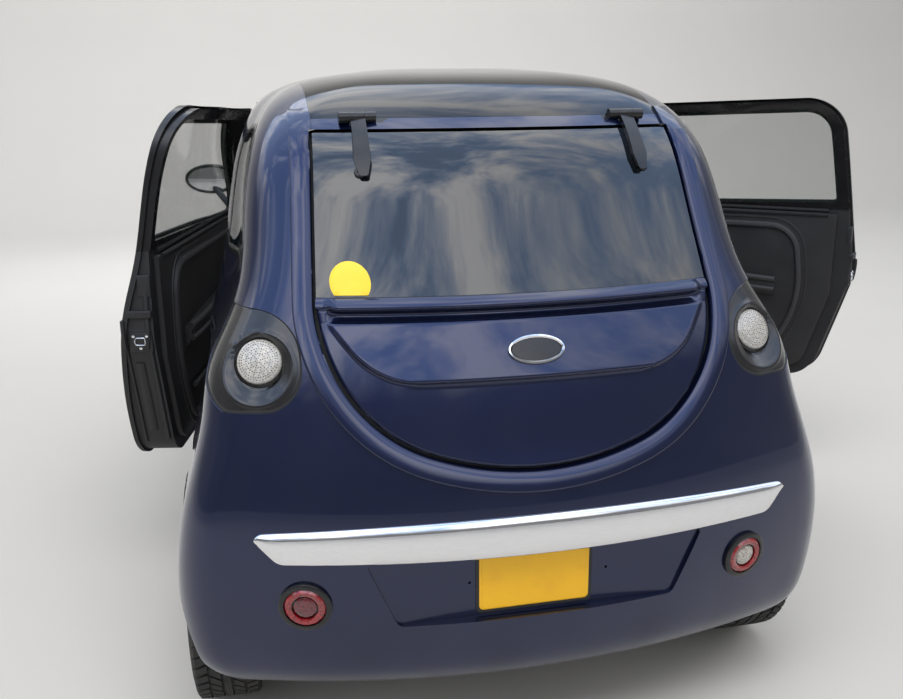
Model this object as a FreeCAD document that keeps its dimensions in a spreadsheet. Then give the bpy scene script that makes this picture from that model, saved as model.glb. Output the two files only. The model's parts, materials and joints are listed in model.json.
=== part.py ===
import FreeCAD, Part
import math
import os

from FreeCAD import Placement, Rotation, Vector

# A two-seat microcar with both doors standing open. Millimetres, +Z up.
# The car faces -Y, its left side is at +X, and the origin is on the ground
# halfway along the car, on its centre plane.

doc = FreeCAD.newDocument("microcar")
sheet = doc.addObject("Spreadsheet::Sheet", "Dimensions")

# Columns: alias, value in millimetres or degrees
DIMENSIONS = (
    ("overall_length", 3000),
    ("overall_width", 1500),
    ("overall_height", 1500),
    ("body_underside", 215),
    ("wheelbase", 2030),
    ("rear_axle_to_tail", 500),
    ("rear_track_half", 664),
    ("front_track_half", 652),
    ("tyre_radius", 278.5),
    ("tyre_width", 155),
    ("rim_radius", 178),
    ("rim_width", 125),
    ("rim_lip", 8),
    ("rim_wall", 14),
    ("rim_bore", 30),
    ("rim_face_set", 34),
    ("hub_radius", 58),
    ("hub_clearance", 0.08),
    ("spoke_count", 7),
    ("arch_radius", 326),
    ("liner_wall", 6),
    ("front_housing_x", 430),
    ("rear_housing_x", 556),
    ("panel_wall", 28),
    ("glass_wall", 6),
    ("panel_gap", 7),
    ("seat_gap", 0.3),
    ("door_inner", 588),
    ("door_lead", 12),
    ("door_box_offset", 22),
    ("door_front_edge", -668),
    ("frame_wall", 30),
    ("glass_set", 10),
    ("rebate", 9),
    ("rebate_depth", 10),
    ("trim_depth", 16),
    ("armrest_reach", 42),
    ("trim_top_drop", 18),
    ("hinge_x", 706),
    ("hinge_y", -645),
    ("hinge_well_radius", 46),
    ("hinge_pin_radius", 4),
    ("hinge_clearance", 0.08),
    ("knuckle_radius", 8),
    ("knuckle_height", 18),
    ("knuckle_room", 1),
    ("lower_hinge", 432),
    ("upper_hinge", 566),
    ("post_face", 684),
    ("post_width", 95),
    ("left_door_angle", 11),
    ("right_door_angle", 47),
    ("belt_height", 1030),
    ("hatch_half_width", 427),
    ("hatch_top_half_width", 405),
    ("hatch_bottom", 700),
    ("hatch_top", 1352),
    ("hatch_sill_arc", 700),
    ("hatch_corner_arc", 300),
    ("hatch_hinge_y", 1094),
    ("hatch_hinge_z", 1383),
    ("hatch_hinge_lean", 57),
    ("hatch_eye", 12),
    ("hatch_pin", 4),
    ("hatch_pocket", 5),
    ("hinge_block_half", 40),
    ("hinge_arm_half", 16),
    ("hinge_arm_x", 307),
    ("arm_stand", 10),
    ("band_width", 46),
    ("band_stand", 4),
    ("glass_edge", 1034),
    ("lip_stand", 20),
    ("lip_height", 26),
    ("slot_height", 22),
    ("slot_depth", 12),
    ("nameplate_stand", 7),
    ("bumper_top", 889),
    ("bumper_front_edge", 1215),
    ("recess_depth", 36),
    ("recess_wall", 12),
    ("rear_lamp_x", 550),
    ("rear_lamp_height", 917),
    ("rear_lamp_side_edge", 1186),
    ("rear_lamp_radius", 50),
    ("lamp_wall", 45),
    ("round_lamp_x", 488),
    ("round_lamp_height", 427),
    ("round_lamp_radius", 52),
    ("strip_half_length", 592),
    ("strip_height", 76),
    ("strip_level", 568),
    ("strip_stand", 10),
    ("plate_width", 240),
    ("plate_height", 130),
    ("plate_thickness", 3),
    ("plate_offset", 10),
    ("plate_level", 450),
    ("plate_hole_spacing", 300),
    ("plate_screw", 3),
    ("roof_half_width", 405),
    ("roof_front", -225),
    ("roof_rear_height", 1381),
    ("screen_bottom", 1036),
    ("screen_top", 1404),
    ("cowl_half_width", 560),
    ("cowl_notch_x", 532),
    ("bonnet_front_edge", 752),
    ("bonnet_rear_edge", 984),
    ("bonnet_half_width", 500),
    ("bonnet_hinge_x", 100),
    ("bonnet_hinge_y", -975),
    ("bonnet_hinge_z", 970),
    ("bonnet_eye", 6),
    ("bonnet_pin", 3),
    ("nose_split", -1240),
    ("head_lamp_x", 555),
    ("head_lamp_height", 745),
    ("head_lamp_side_edge", -1160),
    ("fog_lamp_x", 500),
    ("fog_lamp_level", 400),
    ("fog_lamp_radius", 42),
    ("grille_level", 420),
    ("grille_half_width", 330),
    ("grille_pitch", 28),
    ("grille_slat", 10),
    ("floor_wall", 30),
    ("bulkhead_y", -700),
    ("bulkhead_wall", 25),
    ("step_y", 620),
    ("luggage_floor", 430),
    ("dashboard_half_width", 545),
    ("seat_x", 285),
    ("seat_width", 440),
    ("steering_wheel_radius", 180),
    ("steering_grip", 14),
    ("steering_hub", 45),
    ("steering_hub_depth", 40),
    ("steering_spoke", 34),
    ("steering_wheel_tilt", 25),
    ("steering_wheel_y", -300),
    ("steering_wheel_height", 840),
    ("column_radius", 24),
    ("column_length", 130),
    ("engine_length", 520),
    ("engine_width", 380),
    ("engine_height", 400),
    ("steer_axis_x", 598),
    ("knuckle_reach", 95),
    ("king_pin", 12),
    ("strut_x", 520),
    ("spring_radius", 30),
    ("beam_half", 570),
    ("beam_radius", 25),
    ("trailing_arm_x", 480),
    ("mirror_x", 690),
    ("mirror_y", -680),
    ("mirror_height", 1120),
    ("quarter_post_x", 575),
    ("quarter_post_y", 560),
    ("quarter_post_depth", 100),
)
for row, (alias, value) in enumerate(DIMENSIONS, start=1):
    sheet.set(f"A{row}", alias)
    sheet.set(f"B{row}", str(value))
    sheet.setAlias(f"B{row}", alias)
doc.recompute()


def size(alias):
    return float(getattr(sheet, alias))


LENGTH, WIDTH, HEIGHT = size("overall_length"), size("overall_width"), size("overall_height")
WALL, GAP, SEAT = size("panel_wall"), size("panel_gap"), size("seat_gap")
REAR_AXLE = LENGTH / 2 - size("rear_axle_to_tail")
FRONT_AXLE = REAR_AXLE - size("wheelbase")
FAR = LENGTH

# The body's skin is one loft through level outlines of arcs and lines.
# Columns: height above ground, nose inset, tail inset, rear hip inset, waist inset, front hip inset,
# rear arc, rear corner, front arc, front corner. Insets are from the overall box.
LOWER_LEVELS = (
    (215, 72, 55, 50, 100, 60, 2000, 115, 1900, 150),
    (310, 20, 15, 8, 70, 16, 2000, 115, 1800, 150),
    (430, 0, 0, 4, 56, 4, 2000, 115, 1700, 160),
    (600, 20, 2, 28, 54, 18, 2000, 115, 1500, 190),
    (760, 100, 45, 73, 67, 52, 2000, 115, 1250, 230),
    (900, 350, 90, 103, 94, 88, 1900, 115, 1050, 270),
    (1030, 610, 148, 166, 130, 148, 1600, 135, 950, 240),
)
# Columns: drop below the roof's top, then the same insets and arcs.
UPPER_LEVELS = (
    (300, 835, 238, 192, 160, 186, 1400, 150, 900, 220),
    (154, 1070, 338, 226, 202, 232, 1300, 160, 800, 200),
    (80, 1240, 452, 272, 252, 288, 1200, 190, 700, 190),
    (34, 1430, 580, 362, 347, 377, 1000, 200, 600, 180),
    (12, 1620, 740, 500, 488, 506, 800, 140, 500, 125),
    (4, 1750, 890, 622, 614, 626, 600, 80, 400, 70),
)


def point(x, y, z):
    return Vector(x, y, z)


def curve_edge(points):
    """A line through two points, or an arc through three."""
    if len(points) == 2:
        return Part.LineSegment(*points).toShape()
    return Part.Arc(*points).toShape()


def corner_run(end, half_width, arc, corner, way):
    """From the middle of one end to the side: a wide arc, then a corner arc that leaves along Y."""
    reach = arc - corner
    across = half_width - corner
    centre = end - way * arc
    corner_y = centre + way * math.sqrt(reach**2 - across**2)
    turn = math.asin(across / reach)
    wide_middle = (arc * math.sin(turn / 2), centre + way * arc * math.cos(turn / 2))
    meet = (arc * math.sin(turn), centre + way * arc * math.cos(turn))
    half = (math.pi / 2 - turn) / 2
    corner_middle = (across + corner * math.cos(half), corner_y + way * corner * math.sin(half))
    side = (half_width, corner_y)
    return [((0, end), wide_middle, meet), (meet, corner_middle, side)], side


def bend_from(start, finish):
    """An arc from start to finish that is along Y at start."""
    dx, dy = finish[0] - start[0], finish[1] - start[1]
    radius = (dx * dx + dy * dy) / (2 * dx)
    centre = start[0] + radius
    half = math.asin(dy / radius) / 2
    return (centre - radius * math.cos(half), start[1] + radius * math.sin(half))


# Shares of the straight side at which the rear hip, waist and front hip begin and end
HIP_STARTS = (0.16, 0.36, 0.66, 0.86)


def level_outline(level, inset, drop):
    """One closed level outline of the body, moved in by inset and down by drop."""
    z, nose, tail, rear_hip, waist, front_hip, rear_arc, rear_corner, front_arc, front_corner = level
    rear_run, rear_side = corner_run(
        LENGTH / 2 - tail - inset, WIDTH / 2 - rear_hip - inset, rear_arc - inset, rear_corner - inset, 1
    )
    front_run, front_side = corner_run(
        -LENGTH / 2 + nose + inset, WIDTH / 2 - front_hip - inset, front_arc - inset, front_corner - inset, -1
    )
    span = rear_side[1] - front_side[1]
    a, b, c, d = (rear_side[1] - share * span for share in HIP_STARTS)
    side_waist = WIDTH / 2 - waist - inset
    hip_end, waist_start = (rear_side[0], a), (side_waist, b)
    waist_end, hip_start = (side_waist, c), (front_side[0], d)

    def swap(start, finish):
        middle = ((start[0] + finish[0]) / 2, (start[1] + finish[1]) / 2)
        return [(start, bend_from(start, middle), middle), (middle, bend_from(finish, middle), finish)]

    half = [
        *rear_run,
        (rear_side, hip_end),
        *swap(hip_end, waist_start),
        (waist_start, waist_end),
        *swap(waist_end, hip_start),
        (hip_start, front_side),
        *[tuple(reversed(run)) for run in reversed(front_run)],
    ]
    height = z - drop
    left = [curve_edge([point(x, y, height) for x, y in run]) for run in half]
    right = [curve_edge([point(-x, y, height) for x, y in reversed(run)]) for run in reversed(half)]
    return Part.Wire(left + right)


def body_form(inset):
    """The solid inside the skin, with its surface moved inwards by inset, or outwards if that is negative."""
    levels = list(LOWER_LEVELS) + [(HEIGHT - row[0], *row[1:]) for row in UPPER_LEVELS]
    return Part.makeLoft([level_outline(level, inset, inset) for level in levels], True, False)


def rounded_wire(corners, place):
    """A closed wire through corners given as (a, b, radius); place turns (a, b) into a point."""
    edges = []
    starts, ends, middles = [], [], []
    count = len(corners)
    for i, (a, b, radius) in enumerate(corners):
        here = Vector(a, b, 0)
        before = Vector(*corners[i - 1][:2], 0) - here
        after = Vector(*corners[(i + 1) % count][:2], 0) - here
        before.normalize()
        after.normalize()
        half = before.getAngle(after) / 2
        reach = radius / math.tan(half)
        inwards = (before + after).normalize()
        starts.append(here + before * reach)
        ends.append(here + after * reach)
        middles.append(here + inwards * (radius / math.sin(half) - radius))
    for i, (a, b, radius) in enumerate(corners):
        if radius > 0:
            arc = [place(p.x, p.y) for p in (starts[i], middles[i], ends[i])]
            edges.append(Part.Arc(*arc).toShape())
        following = (i + 1) % count
        if (starts[following] - ends[i]).Length > 1e-6:
            edges.append(
                Part.LineSegment(
                    place(ends[i].x, ends[i].y), place(starts[following].x, starts[following].y)
                ).toShape()
            )
    return Part.Wire(edges)


PLANES = {
    "side": (lambda a, b, n: point(n, a, b), point(1, 0, 0)),
    "end": (lambda a, b, n: point(a, n, b), point(0, 1, 0)),
    "plan": (lambda a, b, n: point(a, b, n), point(0, 0, 1)),
}


def prism(plane, corners, low, high):
    """A rounded outline pushed from low to high.

    Side outlines are (y, z), end ones (x, z), plan ones (x, y).
    """
    place, along = PLANES[plane]
    wire = rounded_wire(corners, lambda a, b: place(a, b, low))
    return Part.Face(wire).extrude(along * (high - low))


def grown(corners, by):
    """The outline moved outwards by a distance, each corner keeping its own centre."""
    count = len(corners)
    area = sum(
        corners[i][0] * corners[(i + 1) % count][1] - corners[(i + 1) % count][0] * corners[i][1]
        for i in range(count)
    )
    turn = 1 if area > 0 else -1
    moved = []
    for i, (a, b, radius) in enumerate(corners):
        here = Vector(a, b, 0)
        ahead = Vector(*corners[(i + 1) % count][:2], 0) - here
        behind = here - Vector(*corners[i - 1][:2], 0)
        ahead.normalize()
        behind.normalize()
        n1 = Vector(behind.y * turn, -behind.x * turn, 0)
        n2 = Vector(ahead.y * turn, -ahead.x * turn, 0)
        shift = (n1 + n2) * (by / (1 + n1.dot(n2)))
        convex = (behind.x * ahead.y - behind.y * ahead.x) * turn > 0
        moved.append((a + shift.x, b + shift.y, max(radius + (by if convex else -by), 0) if radius else 0))
    return moved


def box(low, high):
    return Part.makeBox(*(h - l for l, h in zip(low, high)), point(*low))


def cylinder(radius, start, finish):
    start, finish = point(*start), point(*finish)
    return Part.makeCylinder(radius, (finish - start).Length, start, finish - start)


def mirrored(shape):
    return shape.mirror(point(0, 0, 0), point(1, 0, 0))


FORMS = {}


def form(inset):
    if inset not in FORMS:
        FORMS[inset] = body_form(inset)
    return FORMS[inset]


def skin(region, wall=WALL, stand=0):
    """The part of the body's wall that lies in a region."""
    return region.common(form(-stand)).cut(form(wall))


NODES = []


def keep(label, shape, placement=None):
    """A sub-part held as a feature of the document."""
    feature = doc.addObject("Part::Feature", label)
    feature.Label = label
    feature.Shape = shape
    if placement is not None:
        feature.Placement = placement.multiply(feature.Placement)
    NODES.append(feature)
    return feature


def keep_object(label, feature):
    feature.Label = label
    NODES.append(feature)
    return feature


def bound(kind, label, **sizes):
    """A primitive whose sizes are bound to the sheet's cells."""
    feature = doc.addObject(kind, label)
    for name, alias in sizes.items():
        feature.setExpression(name, f"Dimensions.{alias}")
    return feature


# Outlines that neighbouring panels share

BELT = size("belt_height")
HIGH = HEIGHT + 200
LOW = size("body_underside") - 10
DOOR_FRONT = size("door_front_edge")
HINGE_X, HINGE_Y = size("hinge_x"), size("hinge_y")
NOSE_SPLIT, BUMPER_EDGE, BUMPER_TOP = size("nose_split"), size("bumper_front_edge"), size("bumper_top")
BONNET_REAR, BONNET_FRONT = size("bonnet_rear_edge"), size("bonnet_front_edge")
FLOOR = size("body_underside")
FLOOR_TOP = FLOOR + size("floor_wall")
BULKHEAD = size("bulkhead_y")


def hatch_outline(grow, start=0):
    """The tailgate seen from behind: straight sides and a deep round bottom."""
    side, top = size("hatch_half_width") + grow, size("hatch_top") + grow
    top_side = size("hatch_top_half_width") + grow
    arc, corner = size("hatch_sill_arc") + grow, size("hatch_corner_arc") + grow
    runs, end = corner_run(size("hatch_bottom") - grow, side, arc, corner, -1)
    right = [curve_edge([point(x, start, z) for x, z in run]) for run in runs]
    left = [curve_edge([point(-x, start, z) for x, z in reversed(run)]) for run in reversed(runs)]
    rails = [
        curve_edge([point(side, start, end[1]), point(top_side, start, top)]),
        curve_edge([point(top_side, start, top), point(-top_side, start, top)]),
        curve_edge([point(-top_side, start, top), point(-side, start, end[1])]),
    ]
    return Part.Face(Part.Wire(right + rails + left)).extrude(point(0, FAR, 0))


# The door seen from the side and its window above the belt, as (y, z, radius) corners
DOOR = [
    (DOOR_FRONT, 400, 50),
    (DOOR_FRONT, 985, 40),
    (-150, 1392, 160),
    (515, 1412, 130),
    (560, 1060, 200),
    (588, 800, 250),
    (470, 400, 110),
]
DOOR_WINDOW = [
    (-540, 1014, 18),
    (-132, 1356, 120),
    (478, 1374, 90),
    (520, 1052, 18),
]
QUARTER_WINDOW = [
    (632, 1040, 40),
    (1128, 1050, 50),
    (985, 1352, 90),
    (640, 1366, 60),
]


def arch(y, x_low, grow=0):
    """The round opening over a wheel, on the left side."""
    height = size("tyre_radius")
    return cylinder(size("arch_radius") + grow, (x_low, y, height), (FAR, y, height))


def bonnet_region(grow):
    half = size("bonnet_half_width")
    corners = [
        (half, BONNET_REAR, 0),
        (-half, BONNET_REAR, 0),
        (-half, BONNET_FRONT + 75, 60),
        (-half + 190, BONNET_FRONT, 160),
        (half - 190, BONNET_FRONT, 160),
        (half, BONNET_FRONT + 75, 60),
    ]
    return prism("end", grown(corners, grow), -FAR, -300)


def screen_region(grow):
    bottom, top = size("screen_bottom"), size("screen_top")
    corners = [(545, bottom, 40), (-545, bottom, 40), (-392, top, 50), (392, top, 50)]
    return prism("end", grown(corners, grow), -FAR, 300)


def cowl_region(grow):
    half = size("cowl_half_width") + grow
    return box((-half, -FAR, BONNET_REAR + GAP - grow), (half, -500, size("screen_bottom") - SEAT + grow))


def roof_region(grow):
    half = size("roof_half_width") + grow
    front, edge = size("roof_front") - grow, size("roof_rear_height") - grow
    corners = [(half, front, 30), (half, LENGTH / 2, 0), (-half, LENGTH / 2, 0), (-half, front, 30)]
    return prism("plan", corners, edge, HIGH)


def rear_lamp_region(grow):
    """A leaf that wraps round the corner: a rounded end, and a bent outer edge along the side."""
    x, z, edge = size("rear_lamp_x"), size("rear_lamp_height"), size("rear_lamp_side_edge")
    inner = [(x + 200, z + 97, 0), (x - 84, z + 92, 85), (x - 87, z - 99, 86), (x + 200, z - 99, 0)]
    flank = [
        (edge - 38, z + 190, 0),
        (FAR, z + 190, 0),
        (FAR, z - 200, 0),
        (edge + 341, z - 200, 0),
        (edge, z - 27, 70),
    ]
    return prism("end", grown(inner, grow), REAR_AXLE, FAR).common(prism("side", grown(flank, grow), 0, FAR))


def head_lamp_region(grow):
    """A rounded leaf on the nose's corner with a bent outer edge along the wing."""
    x, z, edge = size("head_lamp_x"), size("head_lamp_height"), size("head_lamp_side_edge")
    inner = [(x + 200, z + 95, 0), (x - 85, z + 72, 68), (x - 85, z - 88, 72), (x + 200, z - 88, 0)]
    flank = [
        (edge + 30, z + 190, 0),
        (-FAR, z + 190, 0),
        (-FAR, z - 200, 0),
        (edge - 300, z - 200, 0),
        (edge, z - 20, 80),
    ]
    leaf = prism("end", grown(inner, grow), -FAR, FRONT_AXLE)
    return leaf.common(prism("side", grown(flank, grow), 0, FAR))


def recess_region(grow):
    corners = [(365, 520, 8), (-365, 520, 8), (-302, 372, 20), (302, 372, 20)]
    return prism("end", grown(corners, grow), 1000, FAR)


def grille_region(grow):
    half, level = size("grille_half_width"), size("grille_level")
    corners = [
        (half, level + 70, 40),
        (-half, level + 70, 40),
        (-half + 70, level - 80, 50),
        (half - 70, level - 80, 50),
    ]
    return prism("end", grown(corners, grow), -FAR, -1000)


def strip_region(grow):
    half, level, height = size("strip_half_length"), size("strip_level"), size("strip_height") / 2
    corners = [
        (half, level + height - 20, 12),
        (0, level + height + 12, 8000),
        (-half, level + height - 20, 12),
        (-half + 57, level - height - 8, 30),
        (half - 57, level - height - 8, 30),
    ]
    return prism("end", grown(corners, grow), 1000, FAR)


def both(shape):
    """The shape and its mirror image, as one tool for a cut or a pair of solids."""
    return Part.makeCompound([shape, mirrored(shape)])


def carved(region, *tools):
    """A region with other regions cut out of it."""
    return region.cut(list(tools)) if tools else region


def disc(radius, x, z, y_low, y_high):
    return cylinder(radius, (x, y_low, z), (x, y_high, z))


# Fixed panels of the body


def rear_bumper_panel():
    """The painted tail below the shoulders, with its plate recess and the foot of the tailgate's band."""
    tail = box((-FAR, BUMPER_EDGE, LOW), (FAR, FAR, BUMPER_TOP))
    body = skin(tail)
    floor_level = LENGTH / 2 - size("recess_depth")
    behind = box((-FAR, floor_level, 0), (FAR, FAR, HEIGHT))
    ahead = box((-FAR, floor_level - size("recess_wall"), 0), (FAR, FAR, HEIGHT))
    backing = recess_region(size("recess_wall")).common(ahead).common(form(1))
    band = carved(hatch_outline(size("band_width"), 1000), hatch_outline(0, 900)).common(tail)
    body = body.fuse([backing, skin(band, WALL, size("band_stand"))])
    lamp_x, level = size("round_lamp_x"), size("round_lamp_height")
    screw_x = size("plate_hole_spacing") / 2
    return body.cut(
        [
            recess_region(0).common(behind),
            hatch_outline(GAP, 900),
            both(rear_lamp_region(SEAT)),
            both(arch(REAR_AXLE, 300)),
            both(disc(size("round_lamp_radius") + SEAT, lamp_x, level, 1000, FAR)),
            both(disc(size("plate_screw"), screw_x, size("plate_level"), floor_level - 10, FAR)),
        ]
    )


def side_frame():
    """The left side of the body: sill, door posts, roof rail, rear quarter and shoulder."""
    region = box((0, HINGE_Y - 13, LOW), (FAR, FAR, HIGH))
    region = region.fuse(box((0, -FAR, BONNET_REAR + GAP), (FAR, HINGE_Y, HIGH)))
    region = carved(
        region,
        box((0, BUMPER_EDGE - SEAT, 0), (FAR, FAR, BUMPER_TOP + SEAT)),
        hatch_outline(GAP, 600),
        screen_region(SEAT),
        cowl_region(SEAT),
        roof_region(SEAT),
        box((0, -FAR, BELT), (size("roof_half_width") + SEAT, FAR, HIGH)),
        prism("side", grown(DOOR, GAP), 0, FAR),
        prism("side", grown(QUARTER_WINDOW, SEAT), 0, FAR),
        rear_lamp_region(SEAT),
        arch(REAR_AXLE, 0),
        hinge_well(0),
    )
    frame = skin(region)
    upper = box((0, 600, BUMPER_TOP + SEAT), (FAR, FAR, HIGH))
    band = carved(hatch_outline(size("band_width"), 600), hatch_outline(GAP, 500)).common(upper)
    band = carved(band, roof_region(SEAT), box((0, 0, BELT), (size("roof_half_width") + SEAT, FAR, HIGH)))
    frame = frame.fuse(skin(band, WALL, size("band_stand")))
    ahead = box((0, -FAR, 0), (FAR, -100, HIGH))
    rebate = carved(prism("side", grown(DOOR, GAP + size("rebate")), 0, FAR), ahead)
    return frame.cut(rebate.common(form(size("rebate_depth"))))


def hinge_well(grow):
    """Room round a door's hinge line for its front edge to turn in."""
    return cylinder(size("hinge_well_radius") + grow, (HINGE_X, HINGE_Y, 0), (HINGE_X, HINGE_Y, BONNET_REAR))


def quarter_post():
    """The thick post behind a door, from the floor to the belt, inside the outer panel."""
    front, back = size("quarter_post_y"), size("quarter_post_y") + size("quarter_post_depth")
    region = box((size("quarter_post_x"), front, FLOOR_TOP + SEAT), (FAR, back, BELT))
    region = carved(region, prism("side", grown(DOOR, GAP + size("rebate")), 0, FAR))
    return region.common(form(WALL + SEAT))


def rear_header():
    """The painted strip between the roof panel and the tailgate."""
    half = size("roof_half_width")
    region = box((-half, 500, BELT), (half, FAR, HIGH))
    return skin(carved(region, roof_region(SEAT), hatch_outline(GAP, 400)))


def front_header():
    """The strip between the windscreen and the roof panel."""
    half = size("roof_half_width")
    region = box((-half, -600, size("screen_top") - 60), (half, 0, HIGH))
    strip = skin(carved(region, roof_region(SEAT), screen_region(SEAT)))
    return max(strip.Solids, key=lambda solid: solid.Volume)


def wing():
    """The left front wing, from the door to the front bumper."""
    region = box((0, -FAR, LOW), (FAR, HINGE_Y - 13 - SEAT, BONNET_REAR + GAP - SEAT))
    nose = box((0, -FAR, 0), (FAR, NOSE_SPLIT + SEAT, BONNET_FRONT + SEAT))
    door = prism("side", grown(DOOR, GAP), 0, FAR)
    region = carved(
        region, nose, door, bonnet_region(GAP), head_lamp_region(SEAT), arch(FRONT_AXLE, 0), hinge_well(0)
    )
    return skin(region)


def nose_panel():
    """The front bumper with its grille mouth and lamp holes."""
    region = box((-FAR, -FAR, LOW), (FAR, NOSE_SPLIT, BONNET_FRONT))
    lamp = disc(size("fog_lamp_radius") + SEAT, size("fog_lamp_x"), size("fog_lamp_level"), -FAR, -1000)
    region = carved(
        region,
        bonnet_region(GAP),
        grille_region(SEAT),
        both(head_lamp_region(SEAT)),
        both(arch(FRONT_AXLE, 300)),
        both(lamp),
    )
    return skin(region)


def grille():
    """A frame with level slats, set back in the bumper's mouth."""
    level, pitch, slat = size("grille_level"), size("grille_pitch"), size("grille_slat")
    plate = carved(grille_region(0), grille_region(-size("grille_slat")))
    slats = [
        grille_region(-1).common(
            box((-FAR, -FAR, level + pitch * k - slat / 2), (FAR, 0, level + pitch * k + slat / 2))
        )
        for k in range(-2, 3)
    ]
    return plate.fuse(slats).common(form(8)).cut(form(WALL))


def bonnet():
    """The bonnet, with pockets under its rear edge for the hinge eyes and the cowl's arms."""
    x, y, z = size("bonnet_hinge_x"), size("bonnet_hinge_y"), size("bonnet_hinge_z")
    room = size("bonnet_eye") + 3.5
    pocket = cylinder(room, (x - 35, y, z), (x + 35, y, z))
    pocket = pocket.fuse(box((x - 35, y + 1, z - room), (x + 35, y + 72, BONNET_REAR + 1)))
    bore = cylinder(size("bonnet_pin") + size("hinge_clearance"), (x - 35, y, z), (x + 35, y, z))
    foot = box((x - 15, y - 30, z - 22), (x + 15, y, z - 4))
    eye = cylinder(size("bonnet_eye"), (x - 15, y, z), (x + 15, y, z)).fuse(foot)
    return skin(bonnet_region(0)).cut(both(pocket)).fuse(both(eye)).cut(both(bore))


def cowl_arm(x_low, x_high):
    """An arm from the cowl's underside that reaches forwards to an eye on the bonnet's hinge line."""
    y, z = size("bonnet_hinge_y"), size("bonnet_hinge_z")
    eye = cylinder(size("bonnet_eye"), (x_low, y, z), (x_high, y, z))
    arm = box((x_low, y, z - 3), (x_high, y + 62, z + 3))
    foot = box((x_low, y + 46, z), (x_high, y + 62, z + 30))
    return eye.fuse([arm, foot])


def tailgate_panel():
    """The painted lower tailgate: a lip with a hand slot under it, and a raised nameplate field."""
    edge = size("glass_edge") - SEAT
    body = skin(hatch_outline(0, 1000).common(box((-FAR, 1000, 0), (FAR, FAR, edge))))
    lip_low = edge - size("lip_height")
    lip = hatch_outline(-8, 1000).common(box((-FAR, 1000, lip_low), (FAR, FAR, edge)))
    slot_low = lip_low - size("slot_height")
    slot = prism(
        "end", [(385, slot_low, 8), (385, lip_low, 8), (-385, lip_low, 8), (-385, slot_low, 8)], 1000, FAR
    )
    corners = [(400, slot_low, 5), (-400, slot_low, 5), (-300, 886, 170), (300, 886, 170)]
    field = prism("end", corners, 1000, FAR)
    body = body.fuse([skin(lip, WALL, size("lip_stand")), skin(field, WALL, size("nameplate_stand"))])
    return body.cut(carved(slot, form(size("slot_depth"))))


# Doors, as they stand shut on the left side


def door_region():
    return prism("side", DOOR, size("door_inner"), FAR)


def door_rim():
    """What is trimmed off behind the door's outer skin, so that its rear edge swings clear."""
    kept = prism("side", grown(DOOR, -size("rebate")), 50, FAR)
    ahead = box((0, -FAR, 0), (FAR, -100, HIGH))
    rim = carved(prism("side", grown(DOOR, 40), 100, FAR), kept, ahead)
    return rim.common(form(size("rebate_depth") + 2))


def door_panel():
    """The deep lower box of the door with its thin leading edge."""
    box_front = HINGE_Y + size("door_box_offset")
    lower = door_region().common(box((0, box_front, 0), (FAR, FAR, BELT)))
    lead = door_region().common(box((0, -FAR, 0), (FAR, box_front + 5, BELT)))
    panel = lower.common(form(0)).fuse(skin(lead, size("door_lead")))
    return panel.cut([door_rim(), prism("side", DOOR_WINDOW, 150, FAR)])


def door_frame():
    """The thin frame round the door's window, standing on the door's box."""
    upper = prism("side", DOOR, 150, FAR).common(box((0, -FAR, BELT), (FAR, FAR, HIGH)))
    frame = skin(carved(upper, roof_region(GAP)), size("frame_wall"))
    return frame.cut([door_rim(), prism("side", DOOR_WINDOW, 150, FAR)])


def door_hinge_half(on_door, low, high):
    """One eye of a door hinge with its arm to the post or to the door's front face."""
    eye = cylinder(size("knuckle_radius"), (HINGE_X, HINGE_Y, low), (HINGE_X, HINGE_Y, high))
    half = size("knuckle_radius") - 3
    if on_door:
        reach = HINGE_Y + size("door_box_offset") + 3
        arm = box((HINGE_X - half, HINGE_Y, low), (HINGE_X + half, reach, high))
    else:
        arm = box((size("post_face") - 2, HINGE_Y - half, low), (HINGE_X, HINGE_Y + half, high))
    return eye.fuse(arm)


def door_with_hinges():
    eyes, bores, rooms = [], [], []
    bore, knuckle = size("hinge_pin_radius") + size("hinge_clearance"), size("knuckle_height")
    room = size("knuckle_radius") + size("knuckle_room")
    for level in (size("lower_hinge"), size("upper_hinge")):
        low, high = level - knuckle - 1, level + 2 * knuckle + 1
        eyes.append(door_hinge_half(True, level + SEAT, level + knuckle - SEAT))
        bores.append(cylinder(bore, (HINGE_X, HINGE_Y, low), (HINGE_X, HINGE_Y, high)))
        rooms.append(cylinder(room, (HINGE_X, HINGE_Y, low), (HINGE_X, HINGE_Y, high)))
    return door_panel().cut(rooms).fuse(eyes).cut(bores)


def door_post():
    """The post that carries a door's hinges, standing on the floor inside the wing."""
    face, knuckle = size("post_face"), size("knuckle_height")
    inner, front, rear = face - size("post_width"), BULKHEAD + 3, HINGE_Y + 10
    low = box((inner, front, FLOOR_TOP + SEAT), (face, rear, 700)).common(form(WALL + SEAT))
    high = box((inner, front, 690), (face, rear, 975)).common(form(size("door_lead") + 34))
    pieces = [high]
    for level in (size("lower_hinge"), size("upper_hinge")):
        bottom, top = (HINGE_X, HINGE_Y, level - knuckle), (HINGE_X, HINGE_Y, level + 2 * knuckle)
        pin = cylinder(size("hinge_pin_radius"), bottom, top)
        pieces += [
            door_hinge_half(False, level - knuckle, level),
            door_hinge_half(False, level + knuckle, level + 2 * knuckle),
            pin,
        ]
    return low.fuse(pieces)


def door_trim():
    """The inner lining of a door with its armrest, against the inside of the door's box."""
    outer = size("door_inner") - SEAT
    inner, depth = outer - size("trim_depth"), size("armrest_reach")
    field = box((0, -560, 0), (FAR, 520, BELT - size("trim_top_drop")))
    lining = prism("side", grown(DOOR, -45), inner, outer).common(field)
    corners = [(-250, 770, 15), (330, 735, 15), (330, 775, 15), (-250, 812, 15)]
    pad = prism("side", corners, inner - depth, inner + 5)
    return lining.fuse(pad)


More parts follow.
